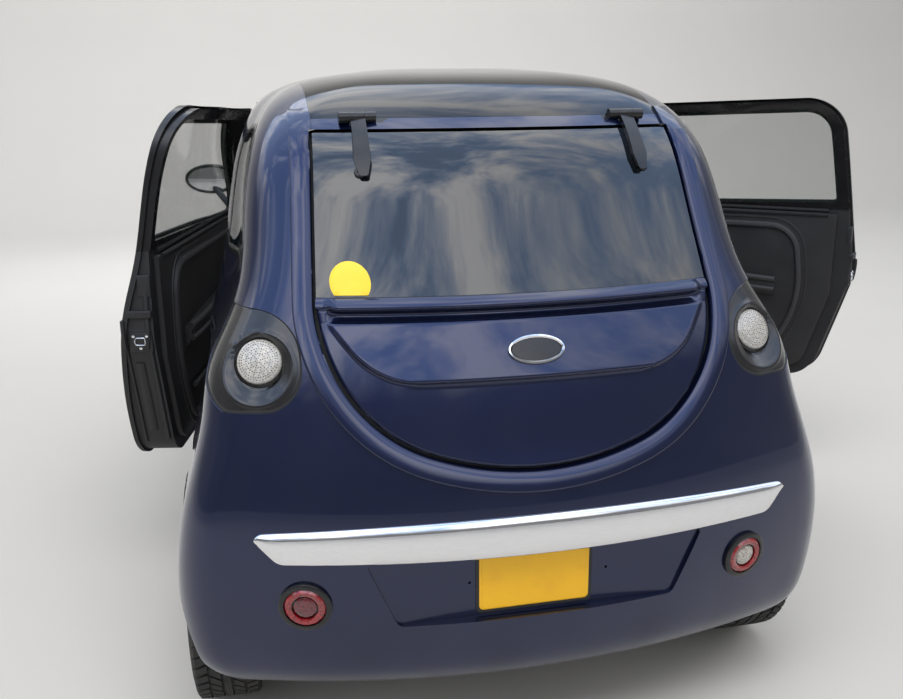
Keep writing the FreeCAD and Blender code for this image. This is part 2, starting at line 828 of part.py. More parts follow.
def door_pane():
    """The door's glass, seated in the window's frame."""
    depth = size("glass_set")
    pane = prism("side", grown(DOOR_WINDOW, -SEAT), 150, FAR).common(form(depth))
    return pane.cut(form(depth + size("glass_wall")))


def door_mirror():
    """A mirror head on an arm from the front corner of the door's window."""
    x, y, z = size("mirror_x"), size("mirror_y"), size("mirror_height")
    head = Part.makeSphere(1, point(0, 0, 0))
    scale = FreeCAD.Matrix()
    scale.scale(104, 46, 58)
    head = head.transformGeometry(scale)
    head.translate(point(x, y, z))
    head = head.cut(box((x - 200, y + 16, z - 200), (x + 200, y + 200, z + 200)))
    foot = point(588, HINGE_Y + 62, 1004)
    arm = Part.makeCylinder(13, (point(x, y, z) - foot).Length, foot, point(x, y, z) - foot)
    return head.fuse(arm).cut(form(-SEAT))


def door_placement(side):
    angle = size("left_door_angle") if side > 0 else size("right_door_angle")
    turn = Rotation(point(0, 0, 1), -side * angle)
    return Placement(point(0, 0, 0), turn, point(side * HINGE_X, HINGE_Y, 0))


# Wheels and what carries them


def turned(corners):
    """A ring turned about the X axis from an outline of (x, radius, rounding) corners."""
    wire = rounded_wire(corners, lambda a, b: point(a, 0, b))
    return Part.Face(wire).revolve(point(0, 0, 0), point(1, 0, 0), 360)


def wheel_tyre():
    half, outer, bead = size("tyre_width") / 2, size("tyre_radius"), size("rim_radius")
    rim_half = size("rim_width") / 2
    return turned(
        [
            (-rim_half + 8, bead, 0),
            (rim_half - 8, bead, 0),
            (half, bead + 26, 0),
            (half, outer - 24, 0),
            (half - 22, outer, 0),
            (-half + 22, outer, 0),
            (-half, outer - 24, 0),
            (-half, bead + 26, 0),
        ]
    )


def wheel_rim():
    """A rim barrel with a spoked face towards its outer side."""
    half, seat, lip = size("rim_width") / 2, size("rim_radius") - SEAT, size("rim_lip")
    wall, ledge = size("rim_wall"), 8
    barrel = turned(
        [
            (-half, seat - wall, 0),
            (-half, seat + lip, 0),
            (-half + ledge - SEAT, seat, 0),
            (half - ledge + SEAT, seat, 0),
            (half, seat + lip, 0),
            (half, seat - wall, 0),
        ]
    )
    face = half - size("rim_face_set")
    parts = [cylinder(size("hub_radius"), (face - 8, 0, 0), (face + 18, 0, 0))]
    outline = [(17, 40, 0), (-17, 40, 0), (-26, seat - 10, 0), (26, seat - 10, 0)]
    for k in range(int(size("spoke_count"))):
        spoke = prism("side", outline, face, face + 16)
        spoke.rotate(point(0, 0, 0), point(1, 0, 0), 360 / size("spoke_count") * k)
        parts.append(spoke)
    rim = barrel.fuse(parts)
    return rim.cut(cylinder(size("rim_bore"), (-FAR, 0, 0), (half - size("rim_face_set") + 10, 0, 0)))


def stub_shaft(from_x, track):
    """The shaft that a left wheel's hub turns on, from a carrier at from_x."""
    end = track + size("rim_width") / 2 - size("rim_face_set") + 8
    return cylinder(size("rim_bore") - size("hub_clearance"), (from_x, 0, 0), (end, 0, 0))


def front_knuckle():
    """The left front hub carrier with its shaft and the two eyes of its steering axis."""
    axis, reach = size("steer_axis_x"), size("knuckle_reach")
    upright = box((axis - 14, -32, -reach), (axis + 14, 32, reach))
    eyes = [
        cylinder(22, (axis, 0, -reach), (axis, 0, -reach + 24)),
        cylinder(22, (axis, 0, reach - 24), (axis, 0, reach)),
    ]
    pin = cylinder(size("king_pin"), (axis, 0, -reach - 18), (axis, 0, reach + 18))
    return upright.fuse([*eyes, pin, stub_shaft(axis, size("front_track_half"))])


def front_arms():
    """The left lower arm and the spring strut that hold the front hub carrier."""
    axis, reach = size("steer_axis_x"), size("knuckle_reach")
    bore = size("king_pin") + size("hinge_clearance")
    level = size("tyre_radius")
    low_eye = cylinder(24, (axis, 0, -reach - 22), (axis, 0, -reach - SEAT))
    corners = [(340, -120, 10), (axis, -16, 4), (axis, 16, 4), (340, 120, 10)]
    arm = prism("plan", corners, -reach - 20, -reach - 4)
    high_eye = cylinder(24, (axis, 0, reach + SEAT), (axis, 0, reach + 22))
    strut_x = size("strut_x")
    bracket = box((strut_x, -20, reach + SEAT), (axis, 20, reach + 22))
    top = size("arch_radius") - 1
    strut = cylinder(18, (strut_x, 0, reach + SEAT), (strut_x, 0, top))
    spring = cylinder(size("spring_radius"), (strut_x, 0, reach + 60), (strut_x, 0, top - 12))
    lower = arm.fuse(low_eye)
    upper = strut.fuse([spring, bracket, high_eye])
    hole = cylinder(bore, (axis, 0, -400), (axis, 0, 400))
    pair = Part.makeCompound([lower.cut(hole), upper.cut(hole)])
    pair.translate(point(0, FRONT_AXLE, level))
    return pair


def wheel_housing(y, inner):
    """A round inner wing over a left wheel: a rim inside the skin and a flat inner wall."""
    level, wall = size("tyre_radius"), size("liner_wall")
    outer = arch(y, inner, wall)
    shell = outer.cut(arch(y, inner + wall))
    window = box((inner - 50, y - 150, 0), (inner + 50, y + 150, level + 170))
    shell = shell.cut(window)
    trim = box((0, y - 400, FLOOR_TOP + SEAT), (FAR, y + 400, HIGH))
    bulkhead = box((0, BULKHEAD - SEAT, 0), (FAR, BULKHEAD + size("bulkhead_wall") + SEAT, HIGH))
    return shell.common(trim).common(form(WALL + SEAT)).cut(bulkhead)


def rear_beam():
    """A tube between the rear wheels with trailing arms to the floor and the wheels' shafts."""
    level, axis = size("tyre_radius"), size("beam_half")
    tube = cylinder(size("beam_radius"), (-axis, REAR_AXLE, level), (axis, REAR_AXLE, level))
    parts = []
    for side in (1, -1):
        shaft = stub_shaft(axis - 20, size("rear_track_half"))
        if side < 0:
            shaft = mirrored(shaft)
        shaft.translate(point(0, REAR_AXLE, level))
        parts.append(shaft)
        x = side * size("trailing_arm_x")
        start = size("step_y") + size("floor_wall") + SEAT
        parts.append(box((x - 20, start, FLOOR_TOP - 5), (x + 20, REAR_AXLE, FLOOR_TOP + 45)))
    return tube.fuse(parts)


# Inside the cabin


def floor_pan():
    """The floor with its rear step, luggage floor, bulkhead and the shelf that carries the engine."""
    wall = size("floor_wall")
    step = size("step_y")
    shelf = size("luggage_floor")
    inside = form(WALL + SEAT)
    pieces = [
        box((-FAR, BULKHEAD, FLOOR), (FAR, step + wall, FLOOR_TOP)),
        box((-FAR, step, FLOOR), (FAR, step + wall, shelf + wall)),
        box((-FAR, step, shelf), (FAR, FAR, shelf + wall)),
        box((-FAR, BULKHEAD, FLOOR), (FAR, BULKHEAD + size("bulkhead_wall"), 950)),
    ]
    pan = pieces[0].fuse(pieces[1:]).common(inside)
    subframe = box((-400, NOSE_SPLIT - 120, FLOOR), (400, BULKHEAD + 5, FLOOR_TOP))
    hollow = box((-330, NOSE_SPLIT - 60, 0), (330, FRONT_AXLE + 180, HIGH))
    pan = pan.fuse(subframe.cut(hollow).common(inside))
    engine_rest = box((-330, FRONT_AXLE - 60, FLOOR), (330, FRONT_AXLE + 60, FLOOR_TOP)).common(inside)
    pan = pan.fuse(engine_rest)
    level = size("recess_depth") + size("recess_wall")
    plate_back = box((-FAR, LENGTH / 2 - level - SEAT, 0), (FAR, FAR, HIGH))
    quarter_low = (size("quarter_post_x") - SEAT, size("quarter_post_y") - SEAT, FLOOR_TOP)
    post_back = size("quarter_post_y") + size("quarter_post_depth") + SEAT
    post_inner = size("post_face") - size("post_width") - SEAT
    posts = box((post_inner, -FAR, FLOOR_TOP - SEAT), (FAR, HINGE_Y + 10 + SEAT, 991))
    return pan.cut(
        [
            both(arch(REAR_AXLE, size("rear_housing_x") - SEAT, size("liner_wall") + SEAT)),
            both(posts),
            both(box(quarter_low, (FAR, post_back, HIGH))),
            plate_back,
        ]
    )


def seat():
    """The left seat on its base: cushion, backrest and headrest in one closed solid."""
    x, half = size("seat_x"), size("seat_width") / 2
    base_top = 330
    base = box((x - half + 30, -60, FLOOR_TOP + SEAT), (x + half - 30, 380, base_top))
    cushion = prism(
        "side",
        [
            (-120, base_top - 10, 30),
            (430, base_top - 30, 30),
            (400, base_top + 90, 30),
            (-120, base_top + 130, 50),
        ],
        x - half,
        x + half,
    )
    back = prism(
        "side",
        [(330, base_top + 20, 20), (450, base_top, 30), (620, 900, 50), (520, 930, 50)],
        x - half + 10,
        x + half - 10,
    )
    rest = prism("side", [(545, 890, 20), (610, 890, 20), (640, 1080, 30), (570, 1090, 30)], x - 120, x + 120)
    return base.fuse([cushion, back, rest])


def dashboard():
    """The instrument panel across the cabin, behind the bulkhead, with a hood over the dials."""
    half = size("dashboard_half_width")
    front = BULKHEAD + size("bulkhead_wall") + SEAT
    shelf_side = [(front, 760, 0), (front, 940, 0), (-480, 965, 30), (-400, 900, 50), (-430, 740, 40)]
    shelf = prism("side", shelf_side, -half, half)
    hood_side = [(-560, 900, 10), (-560, 990, 30), (-430, 1005, 25), (-400, 930, 20)]
    hood = prism("side", hood_side, size("seat_x") - 150, size("seat_x") + 150)
    column = steering_placement()
    sleeve = Part.makeCylinder(size("column_radius") + 10, 130, point(0, 0, 60))
    bore = Part.makeCylinder(size("column_radius") + size("hinge_clearance"), 90, point(0, 0, 50))
    for shape in (sleeve, bore):
        shape.Placement = column
    return shelf.fuse([hood, sleeve]).common(form(WALL + 8)).cut(bore)


SIDES = (("left", 1), ("right", -1))


def sided(shape, side):
    return shape if side > 0 else mirrored(shape)


def build_body():
    frame, front_wing, post = side_frame(), wing(), door_post()
    for name, side in SIDES:
        keep(f"{name}_side_frame", sided(frame, side))
        keep(f"{name}_front_wing", sided(front_wing, side))
    keep("door_posts", Part.makeCompound([both(post), both(quarter_post())]))
    keep("front_header", front_header())
    keep("rear_header", header_with_hinges())
    keep("rear_bumper", rear_bumper_panel())
    keep("front_bumper", nose_panel())
    keep("front_grille", grille())
    keep("bonnet", bonnet())
    keep("cowl_panel", cowl_with_hinges())
    keep("roof_panel", roof_with_hinge_room())
    keep("windscreen", skin(carved(screen_region(0), roof_region(SEAT)), size("glass_wall")))
    keep("quarter_windows", both(skin(prism("side", QUARTER_WINDOW, 150, FAR), size("glass_wall"))))
    keep("chrome_strip", skin(strip_region(0), -SEAT, size("strip_stand")))
    keep("front_wheel_housings", both(wheel_housing(FRONT_AXLE, size("front_housing_x"))))
    keep("rear_wheel_housings", both(wheel_housing(REAR_AXLE, size("rear_housing_x"))))
    keep("floor_pan", floor_pan())


def cowl_with_hinges():
    """The black panel under the windscreen, with the bonnet's hinge eyes and pins."""
    x, y, z = size("bonnet_hinge_x"), size("bonnet_hinge_y"), size("bonnet_hinge_z")
    door_room = prism("side", grown(DOOR, GAP), size("cowl_notch_x"), FAR)
    panel = skin(carved(cowl_region(0), both(door_room)))
    pieces = [
        both(cowl_arm(x - 27, x - 15 - SEAT)),
        both(cowl_arm(x + 15 + SEAT, x + 27)),
        both(cylinder(size("bonnet_pin"), (x - 27, y, z), (x + 27, y, z))),
    ]
    return panel.fuse(pieces)


def hatch_axis(radius, start, finish):
    """A cylinder on the tailgate's hinge line, between two distances from the centre of the left arm."""
    x, y, z = size("hinge_arm_x"), size("hatch_hinge_y"), size("hatch_hinge_z")
    return cylinder(radius, (x + start, y, z), (x + finish, y, z))


def hatch_pocket():
    """The room that the left arm's eye turns in."""
    half = size("hinge_arm_half") + SEAT
    return hatch_axis(size("hatch_eye") + size("hatch_pocket"), -half, half)


def header_with_hinges():
    """The rear header with the tailgate's hinge blocks and pins."""
    y, z, eye = size("hatch_hinge_y"), size("hatch_hinge_z"), size("hatch_eye")
    inner, outer = size("hinge_arm_half") + SEAT, size("hinge_block_half")
    pieces = [hatch_axis(size("hatch_pin"), -outer, outer)]
    for start, finish in ((-outer, -inner), (inner, outer)):
        x = size("hinge_arm_x")
        foot = box((x + start, y - 30, z - eye), (x + finish, y, z)).cut([form(3), roof_region(SEAT)])
        pieces.append(hatch_axis(eye, start, finish).fuse(foot))
    return rear_header().cut(both(hatch_pocket())).fuse([both(piece) for piece in pieces])


def roof_with_hinge_room():
    """The roof panel, cut away round the tailgate's hinge blocks."""
    outer = size("hinge_block_half") + SEAT
    blocks = hatch_axis(size("hatch_eye") + SEAT, -outer, outer)
    return skin(roof_region(0)).cut([both(blocks), both(hatch_pocket())])


def hatch_arms():
    """The two hinge arms that lie on the tailgate's glass, each with its eye and round fastener."""
    y, z, half = size("hatch_hinge_y"), size("hatch_hinge_z"), size("hinge_arm_half")
    x = size("hinge_arm_x")
    outline = [
        (x - half, z, 0),
        (x - half + 1, 1300, 4),
        (x - 6, 1268, 6),
        (x + 12, 1268, 6),
        (x + half + 4, 1300, 4),
        (x + half, 1345, 0),
        (x + half, z, 0),
    ]
    above = box((0, y - 300, z), (FAR, y + 300, z + 300))
    above.rotate(point(0, y, z), point(1, 0, 0), size("hatch_hinge_lean"))
    arm = prism("end", outline, 1000, FAR).common(form(-size("arm_stand"))).cut([form(-SEAT), above])
    bore = cylinder(size("hatch_pin") + size("hinge_clearance"), (0, y, z), (FAR, y, z))
    return both(hatch_axis(size("hatch_eye"), -half, half).fuse(arm).cut(bore))


def build_tailgate():
    keep("tailgate_panel", tailgate_panel())
    above = box((-FAR, 500, size("glass_edge")), (FAR, FAR, HIGH))
    keep("tailgate_glass", skin(hatch_outline(0, 500).common(above), size("glass_wall")))
    keep("tailgate_hinge_arms", hatch_arms())


def build_lamps():
    """Lamps front and rear: each a filled housing with a bowl, and its lens."""
    rear_x, rear_z, eye = size("rear_lamp_x"), size("rear_lamp_height"), size("rear_lamp_radius")
    depth = size("lamp_wall")
    bowl = disc(eye, rear_x, rear_z, 1000, FAR)
    housing = rear_lamp_region(0).common(form(3)).cut([form(depth), carved(bowl, form(14))])
    keep("rear_lamps", both(housing))
    lens = disc(eye - SEAT, rear_x, rear_z, 1000, FAR).common(form(4))
    keep("rear_lamp_lenses", both(lens.cut(form(14 - SEAT))))
    x, z = size("head_lamp_x"), size("head_lamp_height")
    keep("headlamps", both(head_lamp_region(0).common(form(2)).cut(form(depth))))
    low_x, low_z = size("round_lamp_x"), size("round_lamp_height")
    round_lamp = disc(size("round_lamp_radius"), low_x, low_z, 1000, FAR).common(form(-4)).cut(form(WALL))
    keep("round_rear_lamps", both(round_lamp))
    fog_x, fog_z = size("fog_lamp_x"), size("fog_lamp_level")
    fog = disc(size("fog_lamp_radius"), fog_x, fog_z, -FAR, -1000).common(form(4)).cut(form(WALL))
    keep("front_round_lamps", both(fog))


def build_doors():
    door, frame = door_with_hinges(), door_frame()
    trim, pane, mirror = door_trim(), door_pane(), door_mirror()
    for name, side in SIDES:
        place = door_placement(side)
        keep(f"{name}_door", sided(door, side), place)
        keep(f"{name}_door_frame", sided(frame, side), place)
        keep(f"{name}_door_trim", sided(trim, side), place)
        keep(f"{name}_door_glass", sided(pane, side), place)
        keep(f"{name}_mirror", sided(mirror, side), place)


def build_wheels():
    tyre, rim = wheel_tyre(), wheel_rim()
    for end, y in (("front", FRONT_AXLE), ("rear", REAR_AXLE)):
        track = size(f"{end}_track_half")
        for name, side in SIDES:
            place = Placement(point(side * track, y, size("tyre_radius")), Rotation())
            keep(f"{end}_{name}_tyre", sided(tyre, side), place)
            keep(f"{end}_{name}_rim", sided(rim, side), place)
    knuckle = front_knuckle()
    for name, side in SIDES:
        place = Placement(point(0, FRONT_AXLE, size("tyre_radius")), Rotation())
        keep(f"{name}_knuckle", sided(knuckle, side), place)
    keep("front_suspension", both(front_arms()))
    keep("rear_beam", rear_beam())


def build_cabin():
    place = seat()
    for name, side in SIDES:
        keep(f"{name}_seat", sided(place, side))
    keep("dashboard", dashboard())
    build_steering_wheel()
    build_engine()


def build_steering_wheel():
    """A rim, a hub and three spokes about a tilted column."""
    ring = bound("Part::Torus", "SteeringRim", Radius1="steering_wheel_radius", Radius2="steering_grip")
    hub = bound("Part::Cylinder", "SteeringHub", Radius="steering_hub", Height="steering_hub_depth")
    hub.Placement = Placement(point(0, 0, -size("steering_hub_depth") / 2), Rotation())
    spokes = []
    for k in range(3):
        spoke = bound(
            "Part::Box",
            f"SteeringSpoke{k}",
            Length="steering_wheel_radius",
            Width="steering_spoke",
            Height="steering_grip",
        )
        turn = Rotation(point(0, 0, 1), 30 + 120 * k)
        half = size("steering_spoke") / 2
        spoke.Placement = Placement(turn.multVec(point(0, -half, -size("steering_grip") / 2)), turn)
        spokes.append(spoke)
    column = bound("Part::Cylinder", "SteeringShaft", Radius="column_radius", Height="column_length")
    wheel = doc.addObject("Part::MultiFuse", "SteeringWheel")
    wheel.Shapes = [ring, hub, *spokes, column]
    wheel.Placement = steering_placement()
    keep_object("steering_wheel", wheel)


def steering_placement():
    """The column leans: its lower end points down and forwards to the dashboard."""
    tilt = size("steering_wheel_tilt")
    return Placement(
        point(size("seat_x"), size("steering_wheel_y"), size("steering_wheel_height")),
        Rotation(point(1, 0, 0), 90 + tilt),
    )


def build_engine():
    block = bound(
        "Part::Box",
        "EngineBlock",
        Length="engine_length",
        Width="engine_width",
        Height="engine_height",
    )
    block.Placement = Placement(
        point(-size("engine_length") / 2, FRONT_AXLE - size("engine_width") / 2, FLOOR_TOP + SEAT), Rotation()
    )
    keep_object("engine_block", block)


def build_plate():
    """The blank number plate on the recess floor, with its two screw holes."""
    plate = bound(
        "Part::Box",
        "PlateBlank",
        Length="plate_width",
        Width="plate_thickness",
        Height="plate_height",
    )
    plate.Placement = Placement(
        point(
            size("plate_offset") - size("plate_width") / 2,
            LENGTH / 2 - size("recess_depth") + SEAT,
            size("plate_level") - size("plate_height") / 2,
        ),
        Rotation(),
    )
    keep_object("number_plate", plate)


build_body()
build_tailgate()
build_lamps()
build_doors()
build_wheels()
build_cabin()
build_plate()


def write_parts():
    doc.recompute()
    failed = [item.Label for item in doc.Objects if {"Invalid", "Error"} & set(item.State)]
    if failed:
        raise RuntimeError(f"these objects failed: {failed}")
    os.makedirs("parts", exist_ok=True)
    for node in NODES:
        shape = node.Shape
        if shape.isNull() or not shape.isValid() or not shape.Solids:
            raise RuntimeError(f"{node.Label} has no valid solid")
    for node in NODES:
        node.Shape.exportStep(os.path.join("parts", f"{node.Label}.step"))
        print(node.Label, len(node.Shape.Solids), round(node.Shape.Volume / 1e6, 2))


write_parts()
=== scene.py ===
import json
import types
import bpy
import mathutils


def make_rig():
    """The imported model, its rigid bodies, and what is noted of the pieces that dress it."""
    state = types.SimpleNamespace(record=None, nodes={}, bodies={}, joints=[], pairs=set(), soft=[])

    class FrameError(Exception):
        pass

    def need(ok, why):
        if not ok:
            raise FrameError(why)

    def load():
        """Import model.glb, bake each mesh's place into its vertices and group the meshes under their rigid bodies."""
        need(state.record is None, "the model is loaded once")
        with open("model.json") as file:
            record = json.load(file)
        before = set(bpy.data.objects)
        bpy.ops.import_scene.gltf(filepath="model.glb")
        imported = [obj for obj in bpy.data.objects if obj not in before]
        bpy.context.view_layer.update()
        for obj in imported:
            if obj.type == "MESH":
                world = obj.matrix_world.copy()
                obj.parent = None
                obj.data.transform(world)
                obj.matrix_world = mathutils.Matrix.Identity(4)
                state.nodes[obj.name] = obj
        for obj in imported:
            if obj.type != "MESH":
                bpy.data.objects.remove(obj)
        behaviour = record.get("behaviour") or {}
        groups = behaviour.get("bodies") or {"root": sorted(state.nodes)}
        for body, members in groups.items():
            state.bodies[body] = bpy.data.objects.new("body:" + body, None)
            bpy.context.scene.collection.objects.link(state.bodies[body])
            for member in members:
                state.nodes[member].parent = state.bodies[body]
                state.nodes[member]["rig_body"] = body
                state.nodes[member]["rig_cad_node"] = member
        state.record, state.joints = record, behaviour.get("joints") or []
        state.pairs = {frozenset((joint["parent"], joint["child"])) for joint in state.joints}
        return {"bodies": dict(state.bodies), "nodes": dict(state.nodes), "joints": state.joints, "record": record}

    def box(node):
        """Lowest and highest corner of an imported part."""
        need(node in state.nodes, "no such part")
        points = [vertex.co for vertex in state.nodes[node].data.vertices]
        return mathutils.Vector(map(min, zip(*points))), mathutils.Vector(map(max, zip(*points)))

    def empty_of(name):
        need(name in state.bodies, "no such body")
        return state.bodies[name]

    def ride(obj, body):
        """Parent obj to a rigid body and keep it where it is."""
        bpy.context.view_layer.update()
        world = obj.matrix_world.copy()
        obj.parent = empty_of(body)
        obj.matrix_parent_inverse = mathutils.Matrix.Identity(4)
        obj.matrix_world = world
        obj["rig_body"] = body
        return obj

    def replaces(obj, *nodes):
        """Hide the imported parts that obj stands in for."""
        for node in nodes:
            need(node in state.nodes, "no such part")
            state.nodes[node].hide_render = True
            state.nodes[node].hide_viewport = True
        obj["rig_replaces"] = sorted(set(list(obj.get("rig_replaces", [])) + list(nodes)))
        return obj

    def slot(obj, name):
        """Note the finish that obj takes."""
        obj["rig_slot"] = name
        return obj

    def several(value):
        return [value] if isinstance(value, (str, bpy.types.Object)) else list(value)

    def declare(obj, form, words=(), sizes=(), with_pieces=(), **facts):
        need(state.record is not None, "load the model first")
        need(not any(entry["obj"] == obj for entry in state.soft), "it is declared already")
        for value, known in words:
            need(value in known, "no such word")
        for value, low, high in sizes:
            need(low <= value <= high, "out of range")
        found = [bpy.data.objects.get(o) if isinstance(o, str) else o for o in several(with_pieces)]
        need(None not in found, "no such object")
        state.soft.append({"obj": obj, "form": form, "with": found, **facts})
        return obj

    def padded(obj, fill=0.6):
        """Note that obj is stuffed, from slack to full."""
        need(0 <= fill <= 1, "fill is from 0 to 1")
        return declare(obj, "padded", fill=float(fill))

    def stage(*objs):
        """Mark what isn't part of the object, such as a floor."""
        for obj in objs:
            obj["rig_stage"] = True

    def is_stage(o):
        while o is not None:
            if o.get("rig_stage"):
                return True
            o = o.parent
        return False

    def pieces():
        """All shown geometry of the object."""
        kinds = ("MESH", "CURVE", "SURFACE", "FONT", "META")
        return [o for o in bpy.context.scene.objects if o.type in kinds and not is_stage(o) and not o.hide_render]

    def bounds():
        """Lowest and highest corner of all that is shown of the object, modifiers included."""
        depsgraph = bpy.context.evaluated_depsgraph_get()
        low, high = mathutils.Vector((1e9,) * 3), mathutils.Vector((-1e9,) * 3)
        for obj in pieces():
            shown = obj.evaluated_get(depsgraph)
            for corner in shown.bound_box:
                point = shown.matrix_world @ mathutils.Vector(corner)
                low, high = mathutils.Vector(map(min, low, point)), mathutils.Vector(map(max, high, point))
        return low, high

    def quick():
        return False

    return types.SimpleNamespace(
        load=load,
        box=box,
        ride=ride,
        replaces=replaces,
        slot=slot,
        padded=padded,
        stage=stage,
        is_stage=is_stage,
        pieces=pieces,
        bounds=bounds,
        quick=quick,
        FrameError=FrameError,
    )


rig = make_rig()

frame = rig.load()

import json
import math
from functools import partial

import bmesh
import bpy
import numpy
from bpy.props import FloatProperty, FloatVectorProperty, IntProperty, PointerProperty
from mathutils import Matrix, Vector
from mathutils.bvhtree import BVHTree
from mathutils.kdtree import KDTree

bl_info = {
    "name": "Two-seat microcar",
    "version": (1, 0, 0),
    "blender": (4, 5, 0),
    "location": "View3D > Sidebar > Microcar",
    "description": "Finishes, glass, lamps, doors, wheels and cabin of a small two-door car",
    "category": "Object",
}

CAD_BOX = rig.bounds()
JOINTS = {joint["name"]: joint for joint in frame["joints"]}
SIDES = (("left", 1), ("right", -1))


# What a user would change


class PaintSizes(bpy.types.PropertyGroup):
    color: FloatVectorProperty(
        name="Paint colour", description="Colour of the body's paint", subtype="COLOR",
        default=(0.005, 0.011, 0.051),
    )
    coat_roughness: FloatProperty(
        name="Lacquer roughness", description="Roughness of the clear lacquer", default=0.03
    )
    # The strength of the flakes' painted glint in the paint's colour
    painted_flake_glint: FloatProperty(name="Flake", description="How far metal flakes change the paint", default=0.35)
    flange: FloatProperty(
        name="Flange depth", description="How far the edge round the tailgate leans in", default=0.010,
        unit="LENGTH",
    )


class GlassSizes(bpy.types.PropertyGroup):
    border: FloatProperty(
        name="Black border", description="Width of the black print round the glass", default=0.022,
        unit="LENGTH",
    )
    seal: FloatProperty(name="Seal", description="Width of a rubber seal", default=0.009, unit="LENGTH")
    # The rear tint is near black: it is the glass's own tint together with the cabin's shade seen through it, painted
    # into the pane as painted shade.
    tint: FloatVectorProperty(
        name="Rear tint", description="Colour of the tinted glass", subtype="COLOR",
        default=(0.004, 0.006, 0.009),
    )


class LampSizes(bpy.types.PropertyGroup):
    eye: FloatProperty(
        name="Lamp eye", description="Radius of the rear lamp's lens", default=0.048, unit="LENGTH"
    )
    dots: IntProperty(name="Dots", description="Rows of dots in a rear lamp's lens", default=9)
    bezel: FloatProperty(
        name="Bezel", description="Width of a round lamp's black ring", default=0.009, unit="LENGTH"
    )


class DoorSizes(bpy.types.PropertyGroup):
    relief: FloatProperty(
        name="Trim relief", description="Height of the raised border of the trim", default=0.012,
        unit="LENGTH",
    )


class WheelSizes(bpy.types.PropertyGroup):
    pitches: IntProperty(name="Tread pitches", description="Tread blocks round a tyre", default=56)
    groove: FloatProperty(
        name="Groove", description="Depth of the tread's grooves", default=0.006, unit="LENGTH"
    )
    spokes: IntProperty(name="Spokes", description="Spokes of a wheel", default=7)


class CabinSizes(bpy.types.PropertyGroup):
    voxel: FloatProperty(
        name="Cushion mesh", description="Mesh size of the cushions", default=0.014, unit="LENGTH"
    )
    pressure: FloatProperty(name="Cushion pressure", description="How far a cushion swells", default=4.0)


class StageSizes(bpy.types.PropertyGroup):
    floor: FloatVectorProperty(
        name="Floor colour", description="Colour of the floor", subtype="COLOR", default=(0.62, 0.61, 0.59)
    )
    key: FloatProperty(
        name="Key light", description="Power of the large lamp above", default=190.0, subtype="POWER"
    )


def sizes(name):
    return getattr(bpy.context.scene, "microcar_" + name)


# Shader maths


class Wire:
    """A shader socket. Python's operators on it add Math nodes."""

    def __init__(self, finish, socket):
        self.finish, self.socket = finish, socket

    def maths(self, operation, *others):
        return self.finish.add("ShaderNodeMath", [self, *others], operation=operation)

    def __add__(self, other):
        return self.maths("ADD", other)

    def __sub__(self, other):
        return self.maths("SUBTRACT", other)

    def __rsub__(self, other):
        return self.finish.add("ShaderNodeMath", [other, self], operation="SUBTRACT")

    def __mul__(self, other):
        return self.maths("MULTIPLY", other)

    __radd__, __rmul__ = __add__, __mul__

    def wave(self):
        return self.maths("SINE")

    def span(self, low, high, to_low=0.0, to_high=1.0):
        """This value moved from one range to another, and kept inside it."""
        return self.finish.add("ShaderNodeMapRange", [self, low, high, to_low, to_high])


class Finish:
    """A material in the making."""

    def __init__(self, name):
        self.material = bpy.data.materials.new(name)
        self.material.use_nodes = True
        self.tree = self.material.node_tree
        self.tree.nodes.clear()

    def add(self, kind, values=(), out=0, **settings):
        """A node of a type: settings first, then its sockets' values or links, by place or by name."""
        node = self.tree.nodes.new(kind)
        for key, value in settings.items():
            setattr(node, key, value)
        pairs = values.items() if isinstance(values, dict) else enumerate(values)
        for key, value in pairs:
            self.put(node.inputs[key], value)
        return Wire(self, node.outputs[out])

    def put(self, socket, value):
        if isinstance(value, Wire):
            self.tree.links.new(value.socket, socket)
        elif hasattr(value, "__len__") and socket.type == "RGBA" and len(value) == 3:
            socket.default_value = (*value, 1)
        else:
            socket.default_value = value

    def here(self, scale=(1, 1, 1)):
        """The place on the piece, in metres, stretched by a scale."""
        place = self.add("ShaderNodeTexCoord", out="Object")
        if tuple(scale) == (1, 1, 1):
            return place
        return self.add("ShaderNodeMapping", {"Vector": place, "Scale": scale})

    def axis(self, name):
        """One of the place's three numbers: X, Y or Z."""
        return self.add("ShaderNodeSeparateXYZ", [self.here()], out=name)

    def noise(self, scale, detail=3.0, rough=0.5, stretch=(1, 1, 1)):
        values = {"Vector": self.here(stretch), "Scale": scale, "Detail": detail, "Roughness": rough}
        return self.add("ShaderNodeTexNoise", values, out=0)

    def cells(self, scale, out="Distance", feature="F1"):
        return self.add(
            "ShaderNodeTexVoronoi", {"Vector": self.here(), "Scale": scale}, out=out, feature=feature
        )

    def blend(self, factor, low, high):
        """A colour between two colours."""
        node = self.tree.nodes.new("ShaderNodeMix")
        node.data_type = "RGBA"
        for socket, value in ((node.inputs[0], factor), (node.inputs[6], low), (node.inputs[7], high)):
            self.put(socket, value)
        return Wire(self, node.outputs[2])

    def bump(self, height, strength, distance):
        return self.add("ShaderNodeBump", {"Height": height, "Strength": strength, "Distance": distance})

    def shade(self, **sockets):
        """The surface's shader, with its sockets named in words joined by underscores."""
        node = self.tree.nodes.new("ShaderNodeBsdfPrincipled")
        for key, value in sockets.items():
            self.put(node.inputs[key.replace("_", " ")], value)
        output = self.tree.nodes.new("ShaderNodeOutputMaterial")
        self.tree.links.new(node.outputs[0], output.inputs[0])
        return self.material


